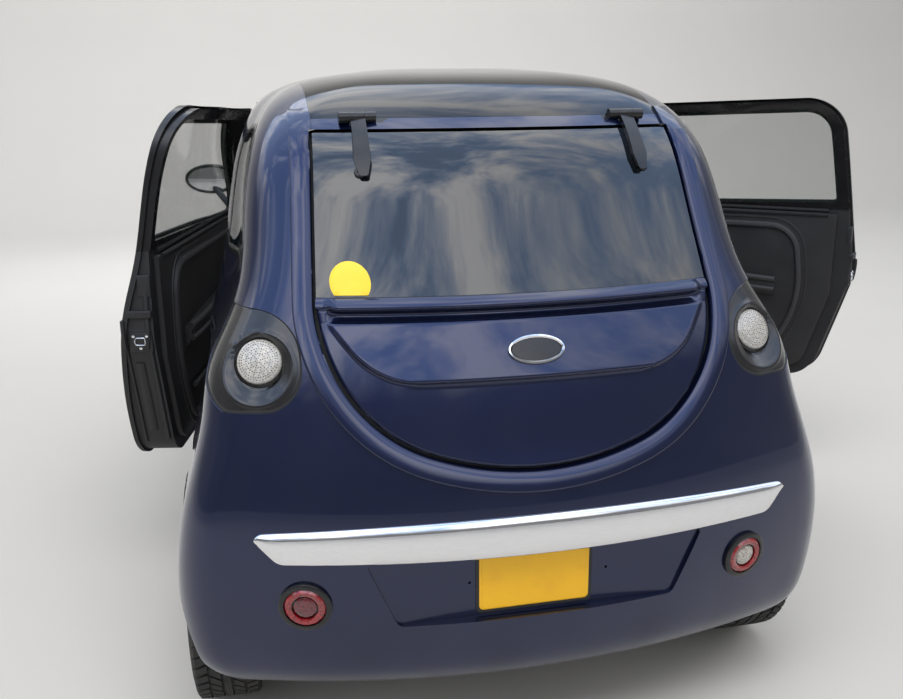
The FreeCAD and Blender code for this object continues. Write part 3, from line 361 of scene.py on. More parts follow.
def navy_paint():
    """Deep blue metallic under clear lacquer, dulled by dust low down; its flakes are painted lighter and darker at
    random as painted glint.
    """
    paint = sizes("paint")
    finish = Finish("navy_paint")
    flakes = finish.cells(2600, "Color")
    flakes_and_painted_glint = finish.add("ShaderNodeSeparateColor", [flakes], out=0)
    dark = tuple(c * 0.6 for c in paint.color)
    light = tuple(min(c * 1.6, 1) for c in paint.color)
    # Painted glint: lighter and darker flakes in the colour
    tone = finish.blend(flakes_and_painted_glint * paint.painted_flake_glint + 0.3, dark, light)
    dust = finish.axis("Z").span(0.55, 0.2) * finish.noise(7, 5, 0.6).span(0.35, 0.75)
    return finish.shade(
        Base_Color=finish.blend(dust * 0.3, tone, (0.05, 0.048, 0.045)),
        Metallic=finish.noise(3, 2) * 0.1 + 0.72,
        Roughness=flakes_and_painted_glint * 0.1 + 0.3,
        Coat_Weight=1.0 - dust * 0.5,
        Coat_Roughness=paint.coat_roughness,
        Normal=finish.bump(finish.noise(2.2, 1), 0.05, 0.002),
    )


def weathered(name, spots, dark, light, rough, grain, **sockets):
    """A finish whose colour and roughness follow soft spots, with a fine grain for relief.

    spots: scale, detail, roughness, and the ends between which the noise counts
    rough: the least roughness and what the spots add
    grain: scale, detail, strength, distance
    """
    finish = Finish(name)
    wear = finish.noise(*spots[:3])
    if len(spots) > 3:
        wear = wear.span(*spots[3:])
    least, more = rough
    return finish.shade(
        Base_Color=finish.blend(wear, dark, light),
        Roughness=wear * more + least if more else least,
        Normal=finish.bump(finish.noise(*grain[:2]), *grain[2:]),
        **sockets,
    )


def roof_black():
    """Gloss black panel with a fine orange-peel surface."""
    black, grey = (0.004, 0.004, 0.005), (0.012, 0.012, 0.013)
    gloss = {"Specular_IOR_Level": 0.22, "Coat_Weight": 0.25, "Coat_Roughness": 0.03}
    return weathered(
        "roof_black", (11, 6, 0.65, 0.45, 0.8), black, grey, (0.06, 0.08), (160, 2, 0.03, 0.0004), **gloss
    )


def grained(name, dark, light, scale, depth, rough):
    """Moulded plastic with a leather-like grain."""
    finish = Finish(name)
    grain = finish.cells(scale, feature="SMOOTH_F1")
    wear = finish.noise(9, 4)
    color = finish.blend(wear, dark, light)
    relief = finish.bump(grain + finish.noise(scale * 2, 2) * 0.3, 0.35, depth)
    return finish.shade(Base_Color=color, Roughness=wear * 0.14 + rough, Normal=relief)


def textured_black():
    return grained("textured_black", (0.012, 0.012, 0.013), (0.024, 0.024, 0.025), 420, 0.0006, 0.5)


def trim_black():
    return grained("trim_black", (0.014, 0.014, 0.015), (0.030, 0.030, 0.031), 300, 0.0008, 0.42)


def dash_grey():
    return grained("dash_grey", (0.022, 0.022, 0.024), (0.042, 0.042, 0.045), 340, 0.0008, 0.48)


def smooth_black():
    """Smooth satin black plastic, as on hinge covers and mirror shells."""
    black, grey = (0.007, 0.007, 0.008), (0.014, 0.014, 0.015)
    return weathered("smooth_black", (30, 4, 0.5), black, grey, (0.2, 0.12), (500, 2, 0.05, 0.0003))


def seal_rubber():
    """Matt black rubber."""
    black, grey = (0.008, 0.008, 0.008), (0.020, 0.020, 0.020)
    return weathered("seal_rubber", (40, 3, 0.5), black, grey, (0.7, 0), (700, 3, 0.2, 0.0003))


def tyre_rubber():
    """Tyre rubber, greyer where dust lies."""
    black, dust = (0.012, 0.012, 0.012), (0.045, 0.042, 0.038)
    return weathered(
        "tyre_rubber", (14, 6, 0.7, 0.35, 0.75), black, dust, (0.72, 0.15), (320, 4, 0.25, 0.0006)
    )


def window_glass(name, tint, base_alpha, grazing):
    """A clear or tinted pane: it hides more of what is behind it at a grazing look."""
    finish = Finish(name)
    edge = finish.add("ShaderNodeFresnel", {"IOR": 1.45})
    smear = finish.noise(6, 5, 0.6).span(0.4, 0.8)
    return finish.shade(
        Base_Color=tint,
        Roughness=smear * 0.025 + 0.008,
        Alpha=edge.span(0.03, 0.6, base_alpha, grazing),
        Coat_Weight=1.0,
        Coat_Roughness=0.01,
    )


def clear_glass():
    return window_glass("clear_glass", (0.05, 0.085, 0.065), 0.24, 0.42)


def dark_glass():
    # Near black and nearly opaque: besides its tint, the pane holds the dark cabin behind it as painted shade.
    return window_glass("dark_glass", tuple(sizes("glass").tint), 0.955, 1.0)


def mirror_glass():
    """Silvered glass with a slight smear."""
    finish = Finish("mirror_glass")
    return finish.shade(
        Base_Color=(0.8, 0.82, 0.83), Metallic=1.0, Roughness=finish.noise(8, 4) * 0.03 + 0.01
    )


def chrome():
    """Bright plated trim with faint polishing marks."""
    finish = Finish("chrome")
    marks = finish.noise(30, 4, 0.6, (1, 8, 8))
    return finish.shade(
        Base_Color=finish.blend(marks, (0.72, 0.72, 0.73), (0.86, 0.86, 0.87)),
        Metallic=1.0,
        Roughness=marks * 0.06 + 0.045,
        Normal=finish.bump(marks, 0.04, 0.0006),
    )


def rim_alloy():
    """Painted silver wheel with soft spots of brake dust."""
    silver, dust = (0.42, 0.43, 0.45), (0.16, 0.15, 0.14)
    paint = {"Metallic": 0.85, "Coat_Weight": 0.4}
    return weathered(
        "rim_alloy", (18, 5, 0.6, 0.45, 0.8), silver, dust, (0.28, 0.25), (500, 2, 0.06, 0.0003), **paint
    )


def chassis_black():
    """Painted steel with road dirt."""
    black, dirt = (0.014, 0.014, 0.015), (0.07, 0.062, 0.052)
    spots, grain = (16, 6, 0.65, 0.35, 0.75), (120, 5, 0.2, 0.001)
    return weathered("chassis_black", spots, black, dirt, (0.45, 0.3), grain, Metallic=0.2)


def cast_metal():
    """Rough cast engine metal."""
    dark, light = (0.10, 0.10, 0.10), (0.22, 0.21, 0.20)
    return weathered(
        "cast_metal", (25, 5, 0.5), dark, light, (0.55, 0), (180, 5, 0.4, 0.0012), Metallic=0.8
    )


def lamp_grey():
    """Smooth dark grey lamp housing."""
    dark, light = (0.006, 0.006, 0.007), (0.012, 0.012, 0.014)
    gloss = {"Coat_Weight": 0.5, "Coat_Roughness": 0.08}
    return weathered("lamp_grey", (12, 4, 0.5), dark, light, (0.22, 0.1), (300, 2, 0.04, 0.0003), **gloss)


def lamp_lens():
    """Cream-clear lens with small pillow optics, each painted lighter in its middle and darker at its rim as painted
    highlight and painted shade.
    """
    finish = Finish("lamp_lens")
    pillow_relief_and_painted_light = finish.cells(210, feature="SMOOTH_F1")
    return finish.shade(
        # Painted highlight in each pillow's middle, painted shade at its rim
        Base_Color=finish.blend(pillow_relief_and_painted_light.span(0.0, 0.6), (0.62, 0.61, 0.58), (0.40, 0.39, 0.37)),
        Roughness=0.12,
        Coat_Weight=1.0,
        Coat_Roughness=0.02,
        Normal=finish.bump(pillow_relief_and_painted_light, 0.18, 0.001),
    )


def colored_lens(name, deep, bright):
    """Moulded plastic lens with a fine ring of prism optics, each painted bright in its middle and deep at its rim as
    painted highlight and painted shade.
    """
    finish = Finish(name)
    prism_relief_and_painted_light = finish.cells(240, feature="SMOOTH_F1")
    return finish.shade(
        # Painted highlight in each prism's middle, painted shade at its rim
        Base_Color=finish.blend(prism_relief_and_painted_light.span(0.0, 0.7), bright, deep),
        Roughness=0.15,
        Coat_Weight=1.0,
        Coat_Roughness=0.02,
        Normal=finish.bump(prism_relief_and_painted_light, 0.35, 0.0015),
    )


def red_lens():
    return colored_lens("red_lens", (0.10, 0.004, 0.006), (0.42, 0.012, 0.018))


def dark_red_lens():
    return colored_lens("dark_red_lens", (0.05, 0.004, 0.008), (0.20, 0.012, 0.022))


def clear_lens():
    return colored_lens("clear_lens", (0.22, 0.20, 0.18), (0.62, 0.58, 0.52))


def plate_yellow():
    """Reflective yellow sheet with faint dirt."""
    finish = Finish("plate_yellow")
    dirt = finish.noise(22, 5, 0.6).span(0.5, 0.85)
    beads = finish.cells(900)
    return finish.shade(
        Base_Color=finish.blend(dirt * 0.5, (0.95, 0.52, 0.012), (0.80, 0.38, 0.02)),
        Roughness=dirt * 0.2 + 0.32,
        Normal=finish.bump(beads, 0.08, 0.0004),
    )


def sticker_yellow():
    """Thin printed film."""
    finish = Finish("sticker_yellow")
    tone = finish.blend(finish.noise(30), (0.90, 0.66, 0.02), (0.82, 0.58, 0.02))
    return finish.shade(Base_Color=tone, Roughness=0.3, Coat_Weight=0.3)


def seat_cloth():
    """Dark woven cloth: threads over and under, with a soft sheen. Where threads pass under, the cloth is painted
    darker as painted shade.
    """
    finish = Finish("seat_cloth")
    across = (finish.axis("X") * 2400).wave()
    along = ((finish.axis("Y") + finish.axis("Z")) * 2400).wave()
    weave_relief_and_painted_shade = across * along
    tone = finish.noise(20, 4)
    # Painted shade where threads pass under, mixed with the cloth's own random tone
    painted_weave_shade_and_tone = weave_relief_and_painted_shade.span(-1, 1) * 0.5 + tone * 0.5
    return finish.shade(
        Base_Color=finish.blend(painted_weave_shade_and_tone, (0.010, 0.011, 0.013), (0.050, 0.052, 0.058)),
        Roughness=0.85,
        Sheen_Weight=0.35,
        Sheen_Roughness=0.4,
        Normal=finish.bump(weave_relief_and_painted_shade, 0.4, 0.0008),
    )


def floor_pale():
    """Pale studio floor with a faint mottle."""
    finish = Finish("floor_pale")
    base = sizes("stage").floor
    shade = tuple(c * 0.96 for c in base)
    return finish.shade(Base_Color=finish.blend(finish.noise(1.5, 4), shade, tuple(base)), Roughness=0.75)


# Which of the record's material slots a finish belongs to
SLOTS = {
    navy_paint: "body_paint",
    roof_black: "roof_black",
    textured_black: "black_plastic",
    trim_black: "trim_plastic",
    dash_grey: "trim_plastic",
    smooth_black: "black_plastic",
    seal_rubber: "black_plastic",
    tyre_rubber: "tyre_rubber",
    clear_glass: "clear_glass",
    dark_glass: "dark_glass",
    mirror_glass: "chrome",
    chrome: "chrome",
    rim_alloy: "rim_alloy",
    chassis_black: "steel",
    cast_metal: "engine_metal",
    lamp_grey: "lamp_housing",
    lamp_lens: "lamp_lens",
    red_lens: "red_lens",
    dark_red_lens: "red_lens",
    clear_lens: "lamp_lens",
    plate_yellow: "plate_yellow",
    sticker_yellow: "plate_yellow",
    seat_cloth: "seat_cloth",
}
MADE = {}


def made(finish):
    """The material of a finish, made once."""
    if finish not in MADE:
        MADE[finish] = finish()
    return MADE[finish]


# Shapes


def mesh_of(bm, name="part"):
    """A bmesh as mesh data. The bmesh is freed."""
    data = bpy.data.meshes.new(name)
    bm.to_mesh(data)
    bm.free()
    return data


def placed(name, data):
    """A new object in the scene."""
    thing = bpy.data.objects.new(name, data)
    bpy.context.scene.collection.objects.link(thing)
    return thing


def turns(count):
    """The angles of a whole turn in equal steps."""
    return [2 * math.pi * k / count for k in range(count)]


def corners_of(places):
    """The low and high corners of the box round some places."""
    return [Vector(pick(place[i] for place in places) for i in range(3)) for pick in (min, max)]


def settle(name, bm, body, finishes, replaces=(), smooth=40, normals=None):
    """Turns a bmesh into a finished piece that rides on a body."""
    mesh = mesh_of(bm, name)
    piece = placed(name, mesh)
    finishes = finishes if isinstance(finishes, (list, tuple)) else [finishes]
    kinds = [face.material_index for face in mesh.polygons]
    mesh.materials.clear()
    for finish in finishes:
        mesh.materials.append(made(finish))
    for face, kind in zip(mesh.polygons, kinds):
        face.material_index = min(kind, len(finishes) - 1)
        face.use_smooth = True
    mesh.set_sharp_from_angle(angle=math.radians(smooth))
    if normals:
        corners = [normals[face.index, index] for face in mesh.polygons for index in face.vertices]
        mesh.normals_split_custom_set(corners)
    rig.ride(piece, body)
    if replaces:
        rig.replaces(piece, *replaces)
    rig.slot(piece, SLOTS[finishes[0]])
    return piece


def fitted_normals(bm, near=16):
    """Normals by (face, point), each from a quadratic surface through the nearest points of its patch."""
    normals = {}
    for group in patches(bm):
        corners = {vert.index: vert for face in group for vert in face.verts}
        sums = {index: Vector() for index in corners}
        for face in group:
            for vert in face.verts:
                sums[vert.index] += face.normal * face.calc_area()
        tree = KDTree(len(corners))
        for index, vert in corners.items():
            tree.insert(vert.co, index)
        tree.balance()
        fitted = {}
        for index, vert in corners.items():
            up = sums[index].normalized()
            right = up.orthogonal().normalized()
            ahead = up.cross(right)
            steps = [
                place - vert.co for place, other, _ in tree.find_n(vert.co, near) if sums[other].dot(up) > 0
            ]
            if len(steps) < 6:
                fitted[index] = up
                continue
            flat = numpy.array([(step.dot(right), step.dot(ahead), step.dot(up)) for step in steps])
            reach = max(abs(flat[:, :2]).max(), 1e-6)
            a, b, height = flat[:, 0] / reach, flat[:, 1] / reach, flat[:, 2] / reach
            powers = numpy.stack([a, b, a * a, a * b, b * b], axis=1)
            slope = numpy.linalg.lstsq(powers, height, rcond=0.02)[0]
            fitted[index] = (up - right * float(slope[0]) - ahead * float(slope[1])).normalized()
            if fitted[index].dot(up) < 0.94:
                fitted[index] = up
        for face in group:
            for vert in face.verts:
                normals[face.index, vert.index] = fitted[vert.index]
    return normals


def joined(meshes):
    """Several bmeshes as one."""
    whole = bmesh.new()
    for part in meshes:
        data = mesh_of(part)
        whole.from_mesh(data)
        bpy.data.meshes.remove(data)
    return whole


def moved(bm, matrix):
    bmesh.ops.transform(bm, matrix=matrix, verts=bm.verts)
    if matrix.determinant() < 0:
        bmesh.ops.reverse_faces(bm, faces=bm.faces)
    return bm


def mirrored(bm):
    return moved(bm, Matrix.Scale(-1, 4, (1, 0, 0)))


def both_sides(name, shape, body, finishes, replaces=()):
    """A piece from a shape on the left and its mirror image on the right."""
    return settle(name, joined([shape, mirrored(shape.copy())]), body, finishes, replaces)


def door_place(name, side):
    """How a shut left door moves to stand as it does on one side of the car."""
    joint = JOINTS[name + "_door_hinge"]
    pin = Matrix.Translation(joint["pos_m"])
    swing = Matrix.Rotation(-math.radians(joint["range_deg"][0]), 4, Vector(joint["axis"]))
    return pin @ swing @ pin.inverted() @ Matrix.Diagonal((side, 1, 1, 1))


def inset_outline(outline, inset):
    """The points of a flat outline moved into it."""
    area = sum(a.x * b.y - b.x * a.y for a, b in zip(outline, outline[1:] + outline[:1]))
    turn = 1 if area > 0 else -1
    result = []
    for k, here in enumerate(outline):
        along = (outline[(k + 1) % len(outline)] - outline[k - 1]).normalized()
        result.append(here + Vector((-along.y, along.x)) * inset * turn)
    return result


def merged(node):
    """A node's mesh with its loose triangles joined."""
    bm = bmesh.new()
    bm.from_mesh(frame["nodes"][node].data)
    bmesh.ops.remove_doubles(bm, verts=bm.verts, dist=0.00002)
    return bm


def outward(place):
    """The direction from the middle of the car out to a place."""
    return (place - Vector((0, max(-0.75, min(0.75, place.y)), 0.6))).normalized()


def patches(bm, bend=0.5):
    """A shell's faces in groups that run smoothly into each other."""
    bm.faces.ensure_lookup_table()
    bm.normal_update()
    region = {}
    groups = []
    for start in bm.faces:
        if start.index in region:
            continue
        group, queue = [], [start]
        region[start.index] = len(groups)
        while queue:
            face = queue.pop()
            group.append(face)
            for edge in face.edges:
                for other in edge.link_faces:
                    if other.index not in region and face.normal.dot(other.normal) > math.cos(bend):
                        region[other.index] = len(groups)
                        queue.append(other)
        groups.append(group)
    return groups


def regions(bm):
    """Sorts a shell's faces into outer, inner and edge ones."""
    groups = patches(bm)
    total = sum(face.calc_area() for face in bm.faces)
    kinds = {"outer": set(), "inner": set(), "edge": set()}
    for group in groups:
        area = sum(face.calc_area() for face in group)
        facing = sum(
            face.normal.dot(outward(face.calc_center_median())) * face.calc_area() for face in group
        )
        facing /= max(area, 1e-9)
        share = area / total
        kind = "edge"
        if share > 0.05 and abs(facing) > 0.3:
            kind = "outer" if facing > 0 else "inner"
        kinds[kind].update(group)
    return kinds


def rims(bm, faces):
    """The closed loops of points, with their normals, round a set of faces."""
    links, normals = {}, {}
    for face in [face for face in bm.faces if face in faces]:
        for vert in face.verts:
            normals[vert.index] = normals.get(vert.index, Vector()) + face.normal * face.calc_area()
        for edge in face.edges:
            if sum(other in faces for other in edge.link_faces) == 1:
                a, b = (vert.index for vert in edge.verts)
                links.setdefault(a, []).append(b)
                links.setdefault(b, []).append(a)
    bm.verts.ensure_lookup_table()
    loops, seen = [], set()
    for start in links:
        if start in seen:
            continue
        loop, here, last = [start], start, None
        seen.add(start)
        while True:
            following = [n for n in links[here] if n != last and (n not in seen or n == start)]
            following.sort(key=lambda n: n in seen)
            if not following or following[0] == start:
                break
            last, here = here, following[0]
            seen.add(here)
            loop.append(here)
        if len(loop) > 8:
            loops.append([(bm.verts[i].co.copy(), normals[i].normalized()) for i in loop])
    return sorted(loops, key=len, reverse=True)


def evened(loop, step):
    """A loop of (point, normal) with points a step apart."""
    points = loop + loop[:1]
    lengths = [0.0]
    for (a, _), (b, _) in zip(points, points[1:]):
        lengths.append(lengths[-1] + (b - a).length)
    count = max(int(lengths[-1] / step), 4)
    result, index = [], 0
    for k in range(count):
        want = lengths[-1] * k / count
        while index < len(lengths) - 2 and lengths[index + 1] < want:
            index += 1
        share = (want - lengths[index]) / max(lengths[index + 1] - lengths[index], 1e-9)
        (a, n), (b, m) = points[index], points[index + 1]
        result.append((a.lerp(b, share), n.lerp(m, share).normalized()))
    return result


def ribbon(loop, profile, closed=True):
    """A strip along (point, normal) pairs. The profile gives (sideways, upwards) points across it."""
    bm = bmesh.new()
    count = len(loop)
    rows = []
    for k, (place, normal) in enumerate(loop):
        ahead = loop[(k + 1) % count][0] if closed or k < count - 1 else place
        behind = loop[k - 1][0] if closed or k > 0 else place
        along = (ahead - behind).normalized()
        side = normal.cross(along).normalized()
        rows.append([bm.verts.new(place + side * a + normal * b) for a, b in profile])
    pairs = list(zip(rows, rows[1:] + rows[:1])) if closed else list(zip(rows, rows[1:]))
    size = len(profile)
    for low, high in pairs:
        for j in range(size):
            bm.faces.new((low[j], low[(j + 1) % size], high[(j + 1) % size], high[j]))
    if not closed:
        bm.faces.new(rows[0][::-1])
        bm.faces.new(rows[-1])
    bmesh.ops.recalc_face_normals(bm, faces=bm.faces)
    return bm


def strip_profile(low, high, lift, sink=0.0005):
    """A flat strip with rounded shoulders, between two sideways places."""
    shoulder = min((high - low) * 0.25, lift)
    return [
        (low, -sink),
        (high, -sink),
        (high, lift * 0.4),
        (high - shoulder, lift),
        (low + shoulder, lift),
        (low, lift * 0.4),
    ]


def bridged(rings, closed=True, capped=False):
    """A skin through rings of points, each ring closed or open."""
    bm = bmesh.new()
    rows = [[bm.verts.new(p) for p in ring] for ring in rings]
    count = len(rows[0])
    for low, high in zip(rows, rows[1:]):
        for j in range(count if closed else count - 1):
            corners = (low[j], low[(j + 1) % count], high[(j + 1) % count], high[j])
            bm.faces.new(corners)
    if capped:
        bm.faces.new(rows[0][::-1])
        bm.faces.new(rows[-1])
    bmesh.ops.remove_doubles(bm, verts=bm.verts, dist=1e-6)
    bmesh.ops.recalc_face_normals(bm, faces=bm.faces)
    return bm


def lathed(profile, centre, axis, steps=64, closed_profile=False):
    """A shape turned about an axis from (along, radius) points."""
    axis = Vector(axis).normalized()
    turn = Vector((0, 0, 1)).rotation_difference(axis).to_matrix()
    rings = []
    for angle in turns(steps):
        spoke = turn @ Vector((math.cos(angle), math.sin(angle), 0))
        rings.append([Vector(centre) + axis * along + spoke * radius for along, radius in profile])
    return bridged([*rings, rings[0]], closed_profile)


def tube(points, radius, sides=10):
    """A round bar through points."""
    loop = []
    for k, place in enumerate(points):
        along = (points[min(k + 1, len(points) - 1)] - points[max(k - 1, 0)]).normalized()
        up = Vector((0, 0, 1)) if abs(along.z) < 0.9 else Vector((0, 1, 0))
        loop.append((place, along.cross(up).cross(along).normalized()))
    return ribbon(loop, [(radius * math.cos(t), radius * math.sin(t)) for t in turns(sides)], closed=False)


def rounded_block(low, high, radius, segments=3):
    """A box with rounded edges."""
    bm = bmesh.new()
    bmesh.ops.create_cube(bm, size=1)
    low, high = Vector(low), Vector(high)
    stretch = Matrix.Diagonal((*(high - low), 1))
    bmesh.ops.transform(bm, matrix=Matrix.Translation((low + high) / 2) @ stretch, verts=bm.verts)
    bmesh.ops.bevel(bm, geom=bm.edges[:], offset=radius, segments=segments, profile=0.5, affect="EDGES")
    return bm


def rounded_corners(corners, steps=8):
    """Points round an outline of (a, b, radius) corners."""
    points = []
    for i, (a, b, radius) in enumerate(corners):
        here = Vector((a, b))
        before = (Vector(corners[i - 1][:2]) - here).normalized()
        after = (Vector(corners[(i + 1) % len(corners)][:2]) - here).normalized()
        half = before.angle(after) / 2
        reach = radius / math.tan(half)
        if radius == 0:
            points.append(here)
            continue
        centre = here + (before + after).normalized() * (radius / math.sin(half))
        start, finish = here + before * reach - centre, here + after * reach - centre
        sweep = start.angle_signed(finish)
        for k in range(steps + 1):
            angle = -sweep * k / steps
            turned = Vector((
                start.x * math.cos(angle) - start.y * math.sin(angle),
                start.x * math.sin(angle) + start.y * math.cos(angle),
            ))
            points.append(centre + turned)
    return points


def rounded_rectangle(half_a, half_b, radius, steps=8):
    """The outline of a rectangle with rounded corners."""
    corners = [(s * half_a, t * half_b, radius) for s, t in ((1, 1), (-1, 1), (-1, -1), (1, -1))]
    return rounded_corners(corners, steps)


class Skin:
    """The outer surface of some nodes, to lay things on."""

    def __init__(self, nodes, matrix=None, shape=None):
        whole = shape.copy() if shape else bmesh.new()
        for node in nodes:
            whole.from_mesh(frame["nodes"][node].data)
        if matrix is not None:
            bmesh.ops.transform(whole, matrix=matrix, verts=whole.verts)
        self.tree = BVHTree.FromBMesh(whole)
        whole.free()

    def cast(self, start, direction):
        place, normal, _, _ = self.tree.ray_cast(Vector(start), Vector(direction).normalized())
        if place is None:
            raise RuntimeError(f"no surface from {tuple(start)} towards {tuple(direction)}")
        if normal.dot(Vector(direction)) > 0:
            normal = -normal
        return place, normal

    def from_behind(self, x, z):
        return self.cast((x, 3, z), (0, -1, 0))

    def from_front(self, x, z):
        return self.cast((x, -3, z), (0, 1, 0))

    def from_left(self, y, z):
        return self.cast((3, y, z), (-1, 0, 0))

    def seen(self, look, spots):
        """What a look finds at the spots, without those that miss."""
        found = []
        for spot in spots:
            try:
                found.append(look(*spot))
            except RuntimeError:
                continue
        return found

    def onto(self, place, normal):
        """The surface's point straight below a place, seen along a direction."""
        return self.cast(place + normal * 0.25, -normal)[0]


def repeater():
    """The node tree that repeats a shape along a step and a turn."""
    tree = bpy.data.node_groups.get("repeat_shape")
    if tree:
        return tree
    tree = bpy.data.node_groups.new("repeat_shape", "GeometryNodeTree")
    sockets = (
        ("Shape", "Geometry"), ("Count", "Int"), ("Step", "Vector"), ("Turn", "Vector"),
        ("Finish", "Material"),
    )
    for name, kind in sockets:
        tree.interface.new_socket(name, in_out="INPUT", socket_type="NodeSocket" + kind)
    tree.interface.new_socket("Shape", in_out="OUTPUT", socket_type="NodeSocketGeometry")
    given, result = tree.nodes.new("NodeGroupInput").outputs, tree.nodes.new("NodeGroupOutput").inputs
    kinds = ("MeshLine", "InputIndex", "InstanceOnPoints", "RealizeInstances", "SetMaterial")
    line, index, place, real, paint = (tree.nodes.new("GeometryNode" + kind) for kind in kinds)
    turn = tree.nodes.new("ShaderNodeVectorMath")
    turn.operation = "SCALE"
    for start, end in (
        (given["Count"], line.inputs["Count"]),
        (given["Step"], line.inputs["Offset"]),
        (given["Turn"], turn.inputs[0]),
        (index.outputs[0], turn.inputs["Scale"]),
        (line.outputs["Mesh"], place.inputs["Points"]),
        (given["Shape"], place.inputs["Instance"]),
        (turn.outputs[0], place.inputs["Rotation"]),
        (place.outputs[0], real.inputs[0]),
        (real.outputs[0], paint.inputs["Geometry"]),
        (given["Finish"], paint.inputs["Material"]),
        (paint.outputs[0], result[0]),
    ):
        tree.links.new(start, end)
    return tree


def repeated(bm, count, finish, step=(0, 0, 0), turn=(0, 0, 0)):
    """A bmesh of count copies of a shape, each a step and a turn on from the last."""
    holder = placed("repeat", mesh_of(bm, "repeat"))
    modifier = holder.modifiers.new("repeat", "NODES")
    modifier.node_group = repeater()
    given = {"Count": count, "Step": step, "Turn": turn, "Finish": made(finish)}
    for socket in modifier.node_group.interface.items_tree:
        if socket.in_out == "INPUT" and socket.name in given:
            modifier[socket.identifier] = given[socket.name]
    holder.update_tag()
    graph = bpy.context.evaluated_depsgraph_get()
    result = bpy.data.meshes.new_from_object(holder.evaluated_get(graph))
    holder.modifiers.remove(modifier)
    bpy.data.objects.remove(holder)
    copies = bmesh.new()
    copies.from_mesh(result)
    bpy.data.meshes.remove(result)
    for face in copies.faces:
        face.material_index = 0
    return copies


def panel(node, body, outer, edge=None, inner=None, smooth=32, shape=None, black=None):
    """A node's shell: a finish outside, one on its edges, one inside, and black where a test says so."""
    bm = merged(node)
    kinds = regions(bm)
    if shape:
        shape(bm)
    finishes = [outer]
    for kind, finish in (("edge", edge), ("inner", inner)):
        if finish is not None and finish not in finishes:
            finishes.append(finish)
        place = finishes.index(finish) if finish is not None else 0
        for face in kinds[kind]:
            face.material_index = place
    if black:
        finishes.append(smooth_black)
        for face in bm.faces:
            if black(face.calc_center_median()):
                face.material_index = len(finishes) - 1
    return settle(node + "_shell", bm, body, finishes, [node], smooth, normals=fitted_normals(bm))


def outer_rims(node, step=0.008, least=0.1):
    """The evened loops round a node's outer surface, longest first, without the short ones."""
    bm = merged(node)
    kinds = regions(bm)
    loops = rims(bm, kinds["outer"])
    bm.free()
    result = []
    for loop in loops:
        length = sum((a[0] - b[0]).length for a, b in zip(loop, loop[1:]))
        if length > least:
            result.append(evened(loop, step))
    return sorted(result, key=len, reverse=True)


def inward_profile(loop, profile):
    """The profile turned so that its sideways direction points into the loop."""
    centre = sum((p for p, _ in loop), Vector()) / len(loop)
    score = 0.0
    for k, (place, normal) in enumerate(loop):
        along = loop[(k + 1) % len(loop)][0] - loop[k - 1][0]
        score += normal.cross(along).dot(centre - place)
    return profile if score > 0 else [(-a, b) for a, b in reversed(profile)]


# Places on the body


HATCH_TOP_HALF, HATCH_SILL_ARC, HATCH_CORNER_ARC = 0.405, 0.700, 0.300


def hatch_points(grow, step=0.006):
    """The tailgate's outline from behind, as (x, z): a deep round bottom, corner arcs and leaning sides."""
    lid_low, lid_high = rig.box("tailgate_panel")
    _, glass_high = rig.box("tailgate_glass")
    side, top = lid_high.x + grow, glass_high.z + grow
    top_side = HATCH_TOP_HALF + grow
    arc, corner = HATCH_SILL_ARC + grow, HATCH_CORNER_ARC + grow
    reach, across = arc - corner, side - corner
    centre = lid_low.z - grow + arc
    corner_z = centre - math.sqrt(reach**2 - across**2)
    turn = math.asin(across / reach)
    half = []
    count = int(arc * turn / step)
    half += [
        (arc * math.sin(turn * k / count), centre - arc * math.cos(turn * k / count)) for k in range(count)
    ]
    rest = math.pi / 2 - turn
    count = int(corner * rest / step)
    for k in range(count):
        angle = turn + rest * k / count
        half.append((across + corner * math.sin(angle), corner_z - corner * math.cos(angle)))
    count = int((top - corner_z) / step)
    half += [
        (side + (top_side - side) * k / count, corner_z + (top - corner_z) * k / count)
        for k in range(count)
    ]
    count = int(top_side / step)
    half += [(top_side * (1 - k / count), top) for k in range(count)]
    return half + [(-x, z) for x, z in half[:0:-1]]


def on_skin(points):
    """Places and normals on the tail for (x, z) points seen from behind."""
    nodes = ["tailgate_panel", "tailgate_glass", "left_side_frame", "right_side_frame"]
    tail = Skin([*nodes, "rear_header", "rear_bumper"])
    return [tail.from_behind(x, z) for x, z in points]


class Fence:
    """A closed line of places that tells how far away a point is."""

    def __init__(self, places):
        self.tree = KDTree(len(places))
        for index, place in enumerate(places):
            self.tree.insert(place, index)
        self.tree.balance()

    def distance(self, place):
        return self.tree.find(place)[2]


def flange(bm, fence, sink):
    """Leans the flange round the tailgate inwards: what lies at the gap moves into the body."""
    gap = 0.011
    bm.normal_update()
    near = [vert for vert in bm.verts if fence.distance(vert.co) < gap]
    for vert in near:
        vert.co -= Vector((0, 0.8, 0.6)).normalized() * sink


class Plane:
    """A flat frame at a place, with a right-hand and an upward direction."""

    def __init__(self, centre, normal):
        self.centre, self.normal = centre, normal
        self.right = Vector((0, 0, 1)).cross(normal).normalized()
        self.up = normal.cross(self.right)

    def at(self, a, b):
        return self.centre + self.right * a + self.up * b

    def polar(self, place):
        """The angle and distance at which the plane sees a place."""
        step = place - self.centre
        a, b = step.dot(self.right), step.dot(self.up)
        return math.atan2(b, a) % (2 * math.pi), math.hypot(a, b)


def around(edge, angle):
    """Between which two of the edge's (angle, distance) pairs an angle lies, and how far along."""
    for k, (start, _) in enumerate(edge):
        finish = edge[(k + 1) % len(edge)][0]
        gap = (finish - start + math.pi) % (2 * math.pi) - math.pi
        ahead = (angle - start + math.pi) % (2 * math.pi) - math.pi
        if abs(gap) > 1e-9 and 0 <= ahead / gap <= 1 and abs(ahead) <= abs(gap):
            return k, (k + 1) % len(edge), ahead / gap
    return 0, 0, 0.0


def reach_at(edge, angle):
    first, second, share = around(edge, angle)
    return edge[first][1] * (1 - share) + edge[second][1] * share


